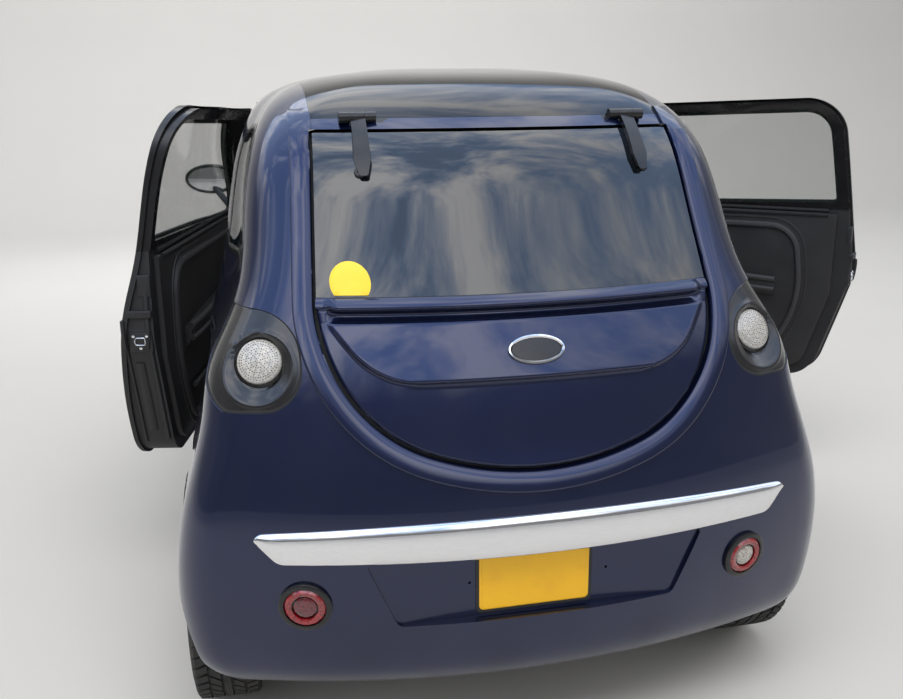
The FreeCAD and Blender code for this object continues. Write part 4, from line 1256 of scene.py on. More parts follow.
def outline_at(outline, edge, angle):
    first, second, share = around(edge, angle)
    return outline[first][0].lerp(outline[second][0], share)


def crossings(outline, x):
    """The heights at which a closed (x, z) outline crosses an upright line."""
    found = []
    for k, (x0, z0) in enumerate(outline):
        x1, z1 = outline[(k + 1) % len(outline)]
        if (x0 - x) * (x1 - x) <= 0 and x0 != x1:
            found.append(z0 + (z1 - z0) * (x - x0) / (x1 - x0))
    return found


def oval_on(skin, centre, half_x, half_z, lift, count=72):
    """An oval ring laid on a surface seen from behind."""
    ring = []
    for angle in turns(count):
        place, normal = skin.from_behind(
            centre[0] + half_x * math.cos(angle), centre[1] + half_z * math.sin(angle)
        )
        ring.append(place + normal * lift)
    return ring


def level_crossings(outline, z):
    """The sideways places at which a closed (x, z) outline crosses a level."""
    return crossings([(b, a) for a, b in outline], z) or [0.0005]


def evened_outline(points, step):
    """A closed flat outline with points about a step apart."""
    flat = [(Vector((p.x, 0, p.y)), Vector((0, 1, 0))) for p in points]
    return [Vector((place.x, place.z)) for place, _ in evened(flat, step)]


def soft(value):
    """A value between 0 and 1 that starts and ends gently."""
    value = min(max(value, 0.0), 1.0)
    return value * value * (3 - 2 * value)


def in_outline(corners, x, z):
    """Whether a place is inside the rounded outline of (a, b, radius) corners."""
    points = rounded_corners(corners, 12)
    inside = False
    for k, a in enumerate(points):
        b = points[k - 1]
        if (a.y > z) != (b.y > z) and x < a.x + (b.x - a.x) * (z - a.y) / (b.y - a.y):
            inside = not inside
    return inside


def evenly_bent(loop):
    """A line of (place, normal) with each place and normal drawn towards its neighbours' middle."""
    result = [loop[0]]
    for before, here, after in zip(loop, loop[1:], loop[2:]):
        place = here[0] * 0.5 + (before[0] + after[0]) * 0.25
        result.append((place, (here[1] * 2 + before[1] + after[1]).normalized()))
    return [*result, loop[-1]]


def bow(share, end, power):
    """How far out a bowed bar stands, for the share of its length, as a part of its greatest reach."""
    return math.sin(math.pi * (end + (1 - 2 * end) * share)) ** power


def round_place(node):
    """The middle, seen from behind, and the radius of the left one of two round lamps."""
    low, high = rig.box(node)
    radius = (high.z - low.z) / 2
    return high.x - radius, (low.z + high.z) / 2, radius


def loop_length(loop):
    return sum((a[0] - b[0]).length for a, b in zip(loop, loop[1:]))


# Painted panels


class MICROCAR_OT_panels(bpy.types.Operator):
    """Paint the body's panels and line their insides"""

    bl_idname = "microcar.panels"
    bl_label = "Body panels"

    def execute(self, context):
        hatch = Fence([place for place, _ in on_skin(hatch_points(-0.003))])
        sink = sizes("paint").flange
        for node in ("left_side_frame", "right_side_frame", "rear_header", "rear_bumper"):
            hinge = self.on_hinge if node == "rear_header" else None
            lean = partial(flange, fence=hatch, sink=sink)
            panel(node, "body", navy_paint, navy_paint, trim_black, shape=lean, black=hinge)
        self.seal()
        self.band()
        for node in ("left_front_wing", "right_front_wing", "front_header", "front_bumper"):
            panel(node, "body", navy_paint, navy_paint, trim_black)
        panel("bonnet", "bonnet_lid", navy_paint, navy_paint, chassis_black)
        panel("roof_panel", "body", roof_black, roof_black, trim_black)
        panel("cowl_panel", "body", textured_black)
        panel("door_posts", "body", navy_paint)
        return {"FINISHED"}

    def on_hinge(self, place):
        """Whether a place is on the black blocks of the tailgate's hinges."""
        axis = JOINTS["tailgate_lift"]["pos_m"]
        return math.hypot(place.y - axis[1], place.z - axis[2]) < 0.013 and 0.25 < abs(place.x) < 0.37

    def seal(self):
        """The dark rubber that closes the gap behind the tailgate."""
        loop = [(place - normal * 0.016, normal) for place, normal in on_skin(hatch_points(-0.003))]
        rubber = ribbon(loop, [(-0.014, -0.005), (-0.014, 0.003), (0.014, 0.003), (0.014, -0.005)])
        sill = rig.box("tailgate_glass")[1]
        upper = rounded_block((-0.395, 1.036, sill.z - 0.020), (0.395, 1.049, sill.z + 0.020), 0.004)
        disc = [(-0.005, 0), (-0.005, 0.028), (0.003, 0.028), (0.003, 0)]
        corners = [max(loop, key=lambda row: 2 * row[0].z + way * row[0].x) for way in (1, -1)]
        discs = [lathed(disc, place, normal, 24) for place, normal in corners]
        settle("tailgate_seal", joined([rubber, upper, *discs]), "body", seal_rubber)

    def band(self):
        """The raised strip round the tailgate, lower at the gap than at its outer edge."""
        points = hatch_points(0.008)
        top = max(z for _, z in points)
        start = next(k for k, (x, z) in enumerate(points) if x > 0 and z > top - 0.012)
        finish = next(k for k, (x, z) in enumerate(points) if x < 0 and z < top - 0.012)
        loop = on_skin(points[finish:] + points[:start])
        for _ in range(6):
            loop = evenly_bent(loop)
        profile = [
            (0.0, -0.012), (0.0, -0.001), (0.002, 0.0012), (0.020, 0.0042),
            (0.037, 0.0074), (0.0395, 0.0068), (0.041, 0.0045), (0.042, -0.006),
        ]
        strip = ribbon(loop, inward_profile(loop, [(-a, b) for a, b in reversed(profile)]), closed=False)
        settle("hatch_band", strip, "body", navy_paint, smooth=50)


# Glass


class MICROCAR_OT_glass(bpy.types.Operator):
    """Give the fixed panes their glass, and the windscreen and quarter windows a black border"""

    bl_idname = "microcar.glass"
    bl_label = "Glass"

    def execute(self, context):
        glass = sizes("glass")
        panes = (
            ("windscreen", "body", clear_glass, 1),
            # The quarter windows and the tailgate glass take the near-black, nearly opaque glass: their tint together
            # with painted shade of the cabin behind them.
            ("quarter_windows", "body", dark_glass, 2),
            ("tailgate_glass", "tailgate", dark_glass, 0),
        )
        for node, body, finish, count in panes:
            panel(node, body, finish)
            if count == 0:
                continue
            borders = []
            for loop in outer_rims(node)[:count]:
                inner = inward_profile(loop, strip_profile(0.0005, glass.border, 0.0005, -0.0001))
                borders.append(ribbon(loop, inner))
            settle(node + "_border", joined(borders), body, smooth_black)
        return {"FINISHED"}


# Tailgate


class MICROCAR_OT_tailgate(bpy.types.Operator):
    """Make the lower lid, the hinge arms, the round fasteners, the blank badge and the yellow sticker"""

    bl_idname = "microcar.tailgate"
    bl_label = "Tailgate trim"
    lip_tall, field_drop = 0.026, 0.046

    def execute(self, context):
        shape = self.lid()
        glass, lid = Skin(["tailgate_glass"]), Skin([], shape=shape)
        settle("tailgate_lid", shape, "tailgate", navy_paint, ["tailgate_panel"], 60)
        panel("tailgate_hinge_arms", "tailgate", smooth_black)
        self.fasteners(glass)
        self.badge(lid)
        self.sticker(glass)
        return {"FINISHED"}

    def lid(self):
        """The lower lid: a crowned lip with a groove under it, and a field that leans out over the foot."""
        low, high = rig.box("tailgate_panel")
        form = self.form(low, high)
        outline = hatch_points(0.0, 0.003)
        fence = Fence([Vector((x, 0, z)) for x, z in outline])
        field = [
            Vector((p.x, 0, p.y))
            for p in evened_outline(rounded_corners(self.field_corners(high.z), 24), 0.003)
        ]
        border = Fence(field)
        levels = self.levels(low.z + 0.0004, high.z)
        rings, columns = [], 144
        for z in levels:
            half = max(level_crossings(outline, z))
            front, back = [], []
            for k in range(columns + 1):
                x = half * math.sin(math.pi * (k / columns - 0.5))
                place, normal = form(x, z)
                inside = fence.distance(Vector((x, 0, z))) if z < high.z - 0.02 else 1.0
                round_off = 0.004 * (1 - min(inside / 0.007, 1.0)) ** 2
                lift = self.relief(x, z, high.z, border) - round_off
                way = Vector((normal.x, normal.y, 0)).normalized()
                front.append(place + way * lift / way.dot(normal))
                back.append(place - way * 0.016)
            rings.append(front + back[::-1])
        return bridged(rings, capped=True)

    def form(self, low, high):
        """The lid's smooth outer surface as a function of (x, z), fitted to the inside of the panel."""
        inside = Skin(["tailgate_panel"])
        wall, rows, depths = None, [], []
        for x in (-0.40, -0.32, -0.24, -0.16, -0.08, 0.0, 0.08, 0.16, 0.24, 0.32, 0.40):
            for k in range(22):
                z = low.z + (high.z - low.z) * (0.02 + 0.96 * k / 21)
                found = inside.seen(lambda a, b: inside.cast((a, 0.2, b), (0, 1, 0)), [(x, z)])
                if found:
                    rows.append(self.powers(x, z))
                    depths.append(found[0][0].y)
        fit = numpy.linalg.lstsq(numpy.array(rows), numpy.array(depths), rcond=None)[0]
        outside = Skin(["tailgate_panel"]).from_behind(0, low.z + 0.06)[0].y
        step = 0.001

        def surface(x, z):
            here = float(numpy.dot(self.powers(x, z), fit))
            slope_x = (float(numpy.dot(self.powers(x + step, z), fit)) - here) / step
            slope_z = (float(numpy.dot(self.powers(x, z + step), fit)) - here) / step
            normal = Vector((-slope_x, 1, -slope_z)).normalized()
            return Vector((x, here + wall / normal.y, z)), normal

        wall = 0.0
        place, normal = surface(0, low.z + 0.06)
        wall = (outside - place.y) * normal.y
        return surface

    def powers(self, x, z):
        """The terms of the fitted surface."""
        a, b = (x / 0.4) ** 2, (z - 0.85) / 0.2
        return [1, b, b * b, b**3, b**4, a, a * b, a * b * b, a * a, a * a * b, a**3]

    def levels(self, low, high):
        """The heights of the lid's rows: close together at its foot, at the groove and at the lip."""
        foot = [low + (0.5 * (high - low)) * (k / 40) ** 2 for k in range(41)]
        lip = 2 * self.lip_tall
        middle = [foot[-1] + (high - lip - foot[-1]) * k / 34 for k in range(1, 35)]
        return foot + middle + [high - lip + lip * k / 40 for k in range(1, 41)]

    def field_corners(self, top):
        """The raised field's outline, from below the groove down to its long curved foot."""
        upper, foot = top - self.field_drop, top - 0.160
        return [(0.408, upper, 0.004), (-0.408, upper, 0.004), (-0.318, foot, 0.170), (0.318, foot, 0.170)]

    def relief(self, x, z, top, border):
        """How far the lid's surface stands out at a place."""
        ends = soft((0.412 - abs(x)) / 0.030)
        lip_low, field_top = top - self.lip_tall, top - self.field_drop
        across, lip = (z - lip_low) / (top - lip_low), 0.0
        if across > 0:
            lip = 0.019 * math.sin(math.pi * min(across, 1.0) ** 0.8 * 0.86 + 0.12) * (0.35 + 0.65 * ends)
        down = (lip_low - z) / 0.022
        groove = -0.011 * math.sin(math.pi * down) ** 0.6 * ends if 0 < down < 1 else 0.0
        depth = border.distance(Vector((x, 0, z)))
        inside = z < field_top and in_outline(self.field_corners(top), x, z)
        share = soft(0.5 + (depth if inside else -depth) / 0.012)
        if z < field_top:
            field = share * (0.003 + 0.017 * min(max((field_top - z) / 0.106, 0.0), 1.0))
        else:
            field = 0.003 * (1 - min(max(down, 0.0), 1.0)) if across <= 0 else 0.0
        return lip + groove + field

    def fasteners(self, glass):
        """A round black bolt cover under each arm."""
        x, z, radius = 0.315, 1.272, 0.0125
        place, normal = glass.from_behind(x, z)
        profile = [
            (-0.001, 0), (-0.001, radius), (0.003, radius), (0.006, radius * 0.8),
            (0.006, radius * 0.5), (0.004, radius * 0.42), (0.004, 0),
        ]
        cover = lathed(profile, place, normal, 32)
        both_sides("glass_fasteners", cover, "tailgate", smooth_black)

    def badge(self, lid):
        """An oval plate with a plated rim and a blank black field."""
        centre, half_x, half_z = (-0.004, 0.928), 0.060, 0.0275
        rings = []
        for scale, lift in (
            (1.0, -0.002), (1.0, 0.003), (0.95, 0.006), (0.85, 0.0068), (0.76, 0.004), (0.76, 0.001)
        ):
            rings.append(oval_on(lid, centre, half_x - (1 - scale) * half_z, half_z * scale, lift))
        settle("badge_rim", bridged(rings), "tailgate", chrome)
        field, inner = [], 0.77
        wide = half_x - (1 - inner) * half_z
        for scale, lift in ((inner, 0.0015), (0.74, 0.0035), (0.4, 0.0042), (0.02, 0.0044)):
            field.append(oval_on(lid, centre, wide * scale / inner, half_z * scale, lift))
        settle("badge_field", bridged(field, capped=True), "tailgate", smooth_black)

    def sticker(self, glass):
        """A yellow film disc, cut straight where it meets the lip."""
        x, z, radius, cut = 0.356, 1.061, 0.041, 1.0375
        rings = []
        for scale, lift in ((1.0, 0.0001), (1.0, 0.0012), (0.98, 0.0014), (0.5, 0.0014), (0.02, 0.0014)):
            ring = []
            for angle in turns(64):
                level = max(z + radius * scale * math.sin(angle), cut + (1 - scale) * 0.01)
                place, normal = glass.from_behind(x + radius * scale * math.cos(angle), level)
                ring.append(place + normal * lift)
            rings.append(ring)
        settle("glass_sticker", bridged(rings, capped=True), "tailgate", sticker_yellow)


# Rear lamps, chrome strip and plate


class MICROCAR_OT_rear_lamps(bpy.types.Operator):
    """Make the leaf-shaped rear lamps with bowl and dotted lens, and the round lamps below"""

    bl_idname = "microcar.rear_lamps"
    bl_label = "Rear lamps"

    def execute(self, context):
        self.leaf()
        self.round_lamps()
        return {"FINISHED"}

    def leaf(self):
        """The left lamp, then its mirror image."""
        lamps = sizes("lamps")
        eye, bowl, drop = lamps.eye, 0.074, 0.018
        low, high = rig.box("rear_lamp_lenses")
        x, z = high.x - 0.05, (low.z + high.z) / 2
        skin = Skin(["rear_lamps", "rear_lamp_lenses"])
        centre, normal = skin.from_behind(x, z)
        flat = Plane(centre, normal)
        outline = max((loop for loop in outer_rims("rear_lamps") if loop[0][0].x > 0), key=loop_length)
        edge = [flat.polar(place) for place, _ in outline]
        eye_depth, steps, count = 0.016, 22, 128
        rings = []
        for j in range(steps + 1):
            ring = []
            for angle in turns(count):
                reach = reach_at(edge, angle)
                radius = eye + (reach - eye) * (j / steps) ** 1.2
                a, b = radius * math.cos(angle), radius * math.sin(angle)
                place = skin.onto(flat.at(a, b), normal) if j < steps else outline_at(outline, edge, angle)
                across = math.hypot(a, b + drop)
                away = max(0.0, min(1.0, (across - eye * 0.86) / (bowl - eye * 0.86)))
                ridge = 0.0022 * math.exp(-(((across - bowl) / 0.007) ** 2))
                height = -eye_depth * (1 - away) ** 1.3 + ridge
                ring.append(place + normal * (height + 0.002 * (j < steps)))
            rings.append(ring)
        inner = [place - normal * 0.03 for place in rings[0]]
        outer = [place - normal * 0.012 for place in rings[-1]]
        shell = bridged([inner, *rings, outer])
        both_sides("rear_lamp_housings", shell, "body", lamp_grey, ["rear_lamps"])
        gasket = ribbon(outline, inward_profile(outline, strip_profile(-0.0035, 0.004, 0.003, 0.004)))
        both_sides("rear_lamp_gaskets", gasket, "body", seal_rubber)
        self.eye(flat, normal, eye, eye_depth)

    def eye(self, flat, normal, eye, depth):
        """The domed lens with its rings of dots, and the dark ring round it."""
        seat = flat.at(0, 0) - normal * depth
        dome = [
            (-0.004, 0), (-0.004, eye), (0.004, eye * 0.98), (0.009, eye * 0.9), (0.013, eye * 0.6),
            (0.0145, 0.0005),
        ]
        lens = lathed(dome, seat, normal, 96)
        both_sides("rear_lamp_eyes", lens, "body", lamp_lens, ["rear_lamp_lenses"])
        ring = lathed(
            [(-0.006, eye * 0.97), (0.003, eye * 0.99), (0.006, eye * 1.03), (0.002, eye * 1.12)], seat,
            normal, 96,
        )
        both_sides("rear_lamp_rings", ring, "body", smooth_black)
        rows, dots = sizes("lamps").dots, []
        turn = Vector((0, 0, 1)).rotation_difference(normal).to_matrix().to_4x4()
        for row in range(1, rows):
            share = row / rows
            rise = 0.0145 - 0.0055 * share**2.6
            dot = lathed(
                [(rise, 0.0), (rise + 0.0008, 0.0), (rise + 0.0008, 0.0008), (rise, 0.0011)],
                (eye * share * 0.93, 0, 0), (0, 0, 1), 6,
            )
            count = 6 * row if row < rows - 1 else 5 * row
            if row % 2 == 0 and row < rows - 2:
                count //= 2
            dots.append(repeated(dot, count, smooth_black, turn=(0, 0, 2 * math.pi / count)))
        whole = moved(joined(dots), Matrix.Translation(seat) @ turn)
        both_sides("rear_lamp_dots", whole, "body", smooth_black)

    def round_lamps(self):
        """Lamps in the bumper: red rings, with a red centre on the left and a clear one on the right."""
        x, z, radius = round_place("round_rear_lamps")
        place, normal = Skin(["round_rear_lamps"]).from_behind(x, z)
        bezel = sizes("lamps").bezel
        ring_out, ring_in, core = radius - bezel, radius * 0.53, radius * 0.46
        cup = [
            (-0.022, radius - 0.001), (0.002, radius + 0.003), (0.0045, radius),
            (0.0045, ring_out + 0.001), (-0.004, ring_out), (-0.004, 0.0005),
        ]
        red = [
            (-0.004, ring_in), (0.004, ring_in), (0.0065, ring_in + 0.004), (0.0065, ring_out - 0.005),
            (0.002, ring_out), (-0.004, ring_out),
        ]
        hub = [(-0.004, core), (0.002, core), (0.005, core * 0.8), (0.006, core * 0.3), (0.006, 0.0005)]
        shapes = {
            name: lathed(profile, place, normal, 80)
            for name, profile in (("cup", cup), ("red", red), ("hub", hub))
        }
        both_sides("round_lamp_cups", shapes["cup"], "body", smooth_black, ["round_rear_lamps"])
        both_sides("round_lamp_reds", shapes["red"], "body", red_lens)
        settle("left_round_lamp_centre", shapes["hub"].copy(), "body", dark_red_lens)
        settle("right_round_lamp_centre", mirrored(shapes["hub"]), "body", clear_lens)


class MICROCAR_OT_rear_trim(bpy.types.Operator):
    """Make the plated strip across the bumper and the blank plate on its black backing"""

    bl_idname = "microcar.rear_trim"
    bl_label = "Chrome strip and plate"

    def execute(self, context):
        self.strip()
        self.plate()
        return {"FINISHED"}

    def strip(self):
        """A crowned bar with a bright shoulder along its top."""
        bumper = Skin(["rear_bumper"])
        outline = [(place.x, place.z) for place, _ in outer_rims("chrome_strip", 0.003)[0]]
        half = max(x for x, _ in outline) - 0.0005
        profile = (
            (0, -0.001), (0, 0.004), (0.05, 0.0085), (0.2, 0.0105), (0.5, 0.0118), (0.78, 0.0112),
            (0.84, 0.0105), (0.92, 0.0078), (0.975, 0.005), (1, 0.002), (1, -0.001),
        )
        rings, count = [], 120
        for k in range(count + 1):
            x = half * math.sin(math.pi * (k / count - 0.5))
            levels = crossings(outline, x)
            low, high = min(levels), max(levels)
            ring = []
            for share, lift in profile:
                place, normal = bumper.from_behind(x, low + (high - low) * share)
                ring.append(place + normal * lift)
            rings.append(ring)
        settle("bumper_strip", bridged(rings, capped=True), "body", chrome, ["chrome_strip"])

    def plate(self):
        """The blank plate with rounded corners and folded edge, on a black carrier."""
        low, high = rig.box("number_plate")
        centre = (low + high) / 2
        half_x, half_z = (high.x - low.x) / 2, (high.z - low.z) / 2
        layers = (
            ("plate_carrier", smooth_black, 0.007, 0.012, low.y - 0.0003, high.y - 0.0008, 0.0, ()),
            (
                "plate_sheet", plate_yellow, 0.0, 0.010, high.y - 0.0025, high.y + 0.0003, 0.004,
                ("number_plate",),
            ),
        )
        for name, finish, grow, corner, back, front, rim, nodes in layers:
            outline = rounded_rectangle(half_x + grow, half_z + grow, corner)
            edge = front - 0.0004
            rings = []
            for inset, y in ((0, back), (0, edge), (0.0006, front), (rim, front), (rim + 0.001, edge)):
                wide, tall = 1 - inset / half_x, 1 - inset / half_z
                rings.append([Vector((centre.x + p.x * wide, y, centre.z + p.y * tall)) for p in outline])
            settle(name, bridged(rings, capped=True), "body", finish, nodes)
        panel("front_grille", "body", smooth_black)


# Doors


class MICROCAR_OT_doors(bpy.types.Operator):
    """Make both doors: skin, end faces, window frame, seals, lining, latch, handle and mirror"""

    bl_idname = "microcar.doors"
    bl_label = "Doors"
    latch_x, latch_z = 0.625, 0.787
    mirror_back = 0.016

    def execute(self, context):
        shapes = [
            ("skin", self.skin(), [navy_paint, textured_black], "door", 32),
            ("window_frame", self.window_frame(), [smooth_black], "door_frame", 32),
            ("lining", self.lining(), [trim_black, dash_grey], "door_trim", 40),
            ("lining_border", self.border(), [dash_grey], None, 40),
            ("armrest", self.armrest(), [dash_grey], None, 40),
            ("pane", self.pane(), [clear_glass], "door_glass", 40),
            ("seals", self.seals(), [seal_rubber], None, 60),
            ("end_face", self.end_face(), [textured_black], None, 40),
            ("latch", self.latch(), [chrome], None, 40),
            ("handle", self.handle(), [smooth_black], None, 40),
            ("mirror_shell", self.mirror_shell(), [smooth_black], "mirror", 50),
            ("mirror_face", self.mirror_face(), [mirror_glass], None, 50),
        ]
        for name, side in SIDES:
            for piece, shape, finishes, node, smooth in shapes:
                nodes = [f"{name}_{node}"] if node else []
                place = moved(shape.copy(), door_place(name, side))
                place.verts.index_update()
                place.faces.index_update()
                normals = fitted_normals(place) if piece in ("skin", "window_frame", "pane") else None
                settle(
                    f"{name}_door_{piece}", place, f"{name}_door_body", finishes, nodes, smooth,
                    normals=normals,
                )
        for _, shape, _, _, _ in shapes:
            shape.free()
        return {"FINISHED"}

    def shut(self, node):
        """The left door's node turned back to where the door is shut."""
        return moved(merged(node), door_place("left", 1).inverted())

    def outside(self):
        """The shut left door's surface, to lay things on."""
        return Skin(["left_door"], door_place("left", 1).inverted())

    def skin(self):
        bm = self.shut("left_door")
        bm.normal_update()
        for face in bm.faces:
            face.material_index = 0 if face.normal.x > 0.45 and face.calc_center_median().x > 0.6 else 1
        return bm

    def window_frame(self):
        return self.shut("left_door_frame")

    def pane(self):
        return self.shut("left_door_glass")

    def lining(self):
        """The flat lining without its armrest pad, with a recessed field."""
        bm = self.shut("left_door_trim")
        face_x = min(vert.co.x for vert in bm.verts if vert.co.z > 0.95)
        near = face_x + 0.002
        flat = {face for face in bm.faces if face.normal.x < -0.9 and face.calc_center_median().x < near}
        loops = rims(bm, flat)
        back_x = max(vert.co.x for vert in bm.verts)
        bm.free()
        outline = [Vector((place.y, place.z)) for place, _ in evened(max(loops, key=loop_length), 0.012)]
        rings = []
        for inset, x in ((0, back_x), (0, face_x + 0.004), (0.002, face_x + 0.001), (0.006, face_x)):
            rings.append([Vector((x, p.x, p.y)) for p in inset_outline(outline, inset)])
        return bridged(rings, capped=True)

    def border_line(self):
        """The rounded border on the lining, as (y, z) points round from the front."""
        corners = [
            (-0.50, 0.962, 0.03), (0.385, 0.962, 0.10), (0.425, 0.66, 0.4), (0.30, 0.475, 0.09),
            (-0.50, 0.475, 0.03),
        ]
        return rounded_corners(corners)

    def border(self):
        """A raised rounded bead round the lining's field, and a thin second one outside it."""
        x = self.face_x()
        wide = sizes("doors").relief
        loop = [(Vector((x, p.x, p.y)), Vector((-1, 0, 0))) for p in self.border_line()]
        bead = [
            (-0.013, -0.001), (-0.011, wide * 0.7), (-0.006, wide), (0.004, wide), (0.010, wide * 0.5),
            (0.013, -0.001),
        ]
        thin = [(0.024, -0.001), (0.026, 0.003), (0.030, 0.003), (0.032, -0.001)]
        outer = [(-a, b) for a, b in reversed(thin)]
        loop = evened(loop, 0.01)
        return joined([ribbon(loop, inward_profile(loop, profile)) for profile in (bead, outer)])

    def face_x(self):
        bm = self.shut("left_door_trim")
        x = min(vert.co.x for vert in bm.verts if vert.co.z > 0.95)
        bm.free()
        return x

    def armrest(self):
        """Two slanted rails of the armrest with a pad between them, and the pocket's edge below."""
        x = self.face_x()
        low, high = self.pad_box()
        front, rear = low.y, high.y
        drop, steps = 0.035, 24
        pieces = []
        for level, lift, thick in ((high.z - 0.008, 0.034, 0.011), (high.z - 0.044, 0.040, 0.009)):
            line = []
            for k in range(steps + 1):
                y = front + (rear - front) * k / steps
                line.append(Vector((x - lift * bow(k / steps, 0.08, 0.35), y, level - drop * k / steps)))
            pieces.append(tube(line, thick, 12))
        rings = []
        for k in range(steps + 1):
            y, sink = front + (rear - front) * k / steps, drop * k / steps
            reach = 0.034 * bow(k / steps, 0.08, 0.35)
            section = (
                (0.002, -0.012), (-reach * 0.9, -0.010), (-reach, -0.024), (-reach, -0.044),
                (-reach * 0.5, -0.062), (0.002, -0.072),
            )
            rings.append([Vector((x + a, y, high.z - sink + b)) for a, b in section])
        pieces.append(bridged(rings, capped=True))
        pocket = [
            Vector((x - 0.012, y, z))
            for y, z in ((-0.42, 0.585), (-0.1, 0.583), (0.2, 0.580), (0.31, 0.579))
        ]
        pieces.append(tube(pocket, 0.008, 10))
        return joined(pieces)

    def pad_box(self):
        """The corners of the pad that stands out of the lining's node."""
        bm = self.shut("left_door_trim")
        x = self.face_x()
        pad = [vert.co for vert in bm.verts if vert.co.x < x - 0.005]
        low, high = corners_of(pad)
        bm.free()
        return low, high

    def seals(self):
        """Rubber round the window inside its frame, along the sill, and round the door's inner edge."""
        width = sizes("glass").seal
        glass = self.shut("left_door_glass")
        loop = evened(rims(glass, regions(glass)["outer"])[0], 0.008)
        glass.free()
        inner = inward_profile(loop, strip_profile(-0.001, width, 0.004, 0.006))
        pieces = [ribbon(loop, inner)]
        x, level = self.face_x(), 1.022
        for lift, step in ((0.0, 0.0), (0.012, 0.014)):
            line = [Vector((x + 0.012 - lift, -0.55 + 1.04 * k / 20, level - step)) for k in range(21)]
            pieces.append(tube(line, 0.0075, 10))
        return joined(pieces)

    def end_face(self):
        """Raised mouldings and the bracket on the door's rear end face."""
        end = self.outside()
        pieces = []
        columns = (
            (0.603, 0.47, 0.93, 0.008, 0.006), (0.640, 0.50, 0.72, 0.013, 0.004),
            (0.668, 0.46, 0.90, 0.006, 0.005),
        )
        for x, low, high, half, lift in columns:
            line = end.seen(end.from_behind, [(x, low + (high - low) * k / 24) for k in range(25)])
            pieces.append(ribbon(line, strip_profile(-half, half, lift, 0.003), closed=False))
        for x, z, half_x, half_z, deep in (
            (0.625, 0.862, 0.036, 0.010, 0.012), (0.605, 0.938, 0.018, 0.030, 0.007)
        ):
            place, _ = end.from_behind(x, z)
            edge = end.from_left(place.y - 0.004, z)[0].x - 0.008
            low = (x - half_x, place.y - 0.01, z - half_z)
            pieces.append(rounded_block(low, (min(x + half_x, edge), place.y + deep, z + half_z), 0.003))
        x, z = self.latch_x, self.latch_z
        place, _ = end.from_behind(x, z)
        for half, deep in ((0.032, 0.004), (0.024, 0.008)):
            low = (x - half, place.y - 0.01, z - half)
            pieces.append(rounded_block(low, (x + half, place.y + deep, z + half), 0.003))
        return joined(pieces)

    def latch(self):
        """The latch's bright fork in its black case."""
        end = self.outside()
        middle_x, middle_z = self.latch_x, self.latch_z
        place, _ = end.from_behind(middle_x, middle_z)
        y = place.y + 0.009
        loop = rounded_rectangle(0.014, 0.010, 0.006, 5)
        fork = [Vector((middle_x + p.x, y, middle_z + p.y)) for p in loop + loop[:1]]
        screws = []
        head = [(0, 0.0045), (0.0015, 0.0042), (0.0022, 0.002), (0.0022, 0.0003)]
        for x, z in ((0.607, 0.802), (0.643, 0.802), (0.625, 0.768)):
            screws.append(lathed(head, (x, y - 0.001, z), (0, 1, 0), 16))
        return joined([tube(fork, 0.0022, 8), *screws])

    def handle(self):
        """The pull outside, on two feet."""
        side = self.outside()
        front, rear, level, stand = 0.30, 0.47, 0.905, 0.024
        rings, count = [], 24
        for k in range(count + 1):
            share = k / count
            place, normal = side.from_left(front + (rear - front) * share, level)
            thick, tall = 0.006, 0.012 - 0.003 * abs(share * 2 - 1) ** 2
            middle = place + normal * stand * bow(share, 0.12, 0.6)
            across, up = normal * thick, Vector((0, 0, tall))
            rings.append([middle + across * math.cos(t) + up * math.sin(t) for t in turns(16)])
        pieces = [bridged(rings, capped=True)]
        foot = [(-0.002, 0.017), (0.004, 0.017), (0.006, 0.014), (0.02, 0.009), (0.02, 0.0005)]
        for y in (front + 0.008, rear - 0.008):
            pieces.append(lathed(foot, *side.from_left(y, level), 24))
        return joined(pieces)

    def mirror_shell(self):
        """A rounded shell, flat behind, with a bezel round the glass and an arm to the door."""
        (x, y, z), (half_x, half_y, half_z) = self.mirror_place()
        back = self.mirror_back
        rings = []
        for k in range(15):
            depth = -half_y + (half_y + back) * math.sin(math.pi / 2 * k / 14)
            scale = math.sqrt(max(1 - (depth / half_y) ** 2, 0.0004))
            rings.append(self.oval(x, y + depth, z, half_x * scale, half_z * scale))
        edge = math.sqrt(1 - (back / half_y) ** 2)
        for shrink, depth in (
            (0.0, back + 0.003), (0.006, back + 0.003), (0.009, back - 0.003), (0.009, back - 0.012)
        ):
            rings.append(self.oval(x, y + depth, z, half_x * edge - shrink, half_z * edge - shrink))
        arm = [
            Vector((x, y - 0.006, z - half_z * 0.4)).lerp(Vector((0.592, -0.583, 1.006)), k / 6)
            for k in range(7)
        ]
        return joined([bridged(rings, capped=True), tube(arm, 0.0125, 14)])

    def mirror_face(self):
        """The slightly domed glass."""
        (x, y, z), (half_x, half_y, half_z) = self.mirror_place()
        edge = math.sqrt(1 - (self.mirror_back / half_y) ** 2)
        wide, tall = half_x * edge - 0.0095, half_z * edge - 0.0095
        rings = []
        for scale in (1.0, 0.8, 0.6, 0.4, 0.2, 0.01):
            depth = 0.0145 + 0.004 * (1 - scale**2)
            rings.append(self.oval(x, y + depth, z, wide * scale, tall * scale))
        return bridged([self.oval(x, y + 0.006, z, wide, tall), *rings], capped=True)

    def mirror_place(self):
        """The middle and half sizes of the mirror's head."""
        bm = self.shut("left_mirror")
        outer = [vert.co for vert in bm.verts if vert.co.x > 0.70]
        low, high = corners_of(outer)
        bm.free()
        half_x, half_y, half_z = 0.104, 0.046, 0.058
        return (high.x - half_x, low.y + half_y, (low.z + high.z) / 2), (half_x, half_y, half_z)

    def oval(self, x, y, z, half_x, half_z, count=56):
        return [Vector((x + half_x * math.cos(t), y, z + half_z * math.sin(t))) for t in turns(count)]


# Wheels


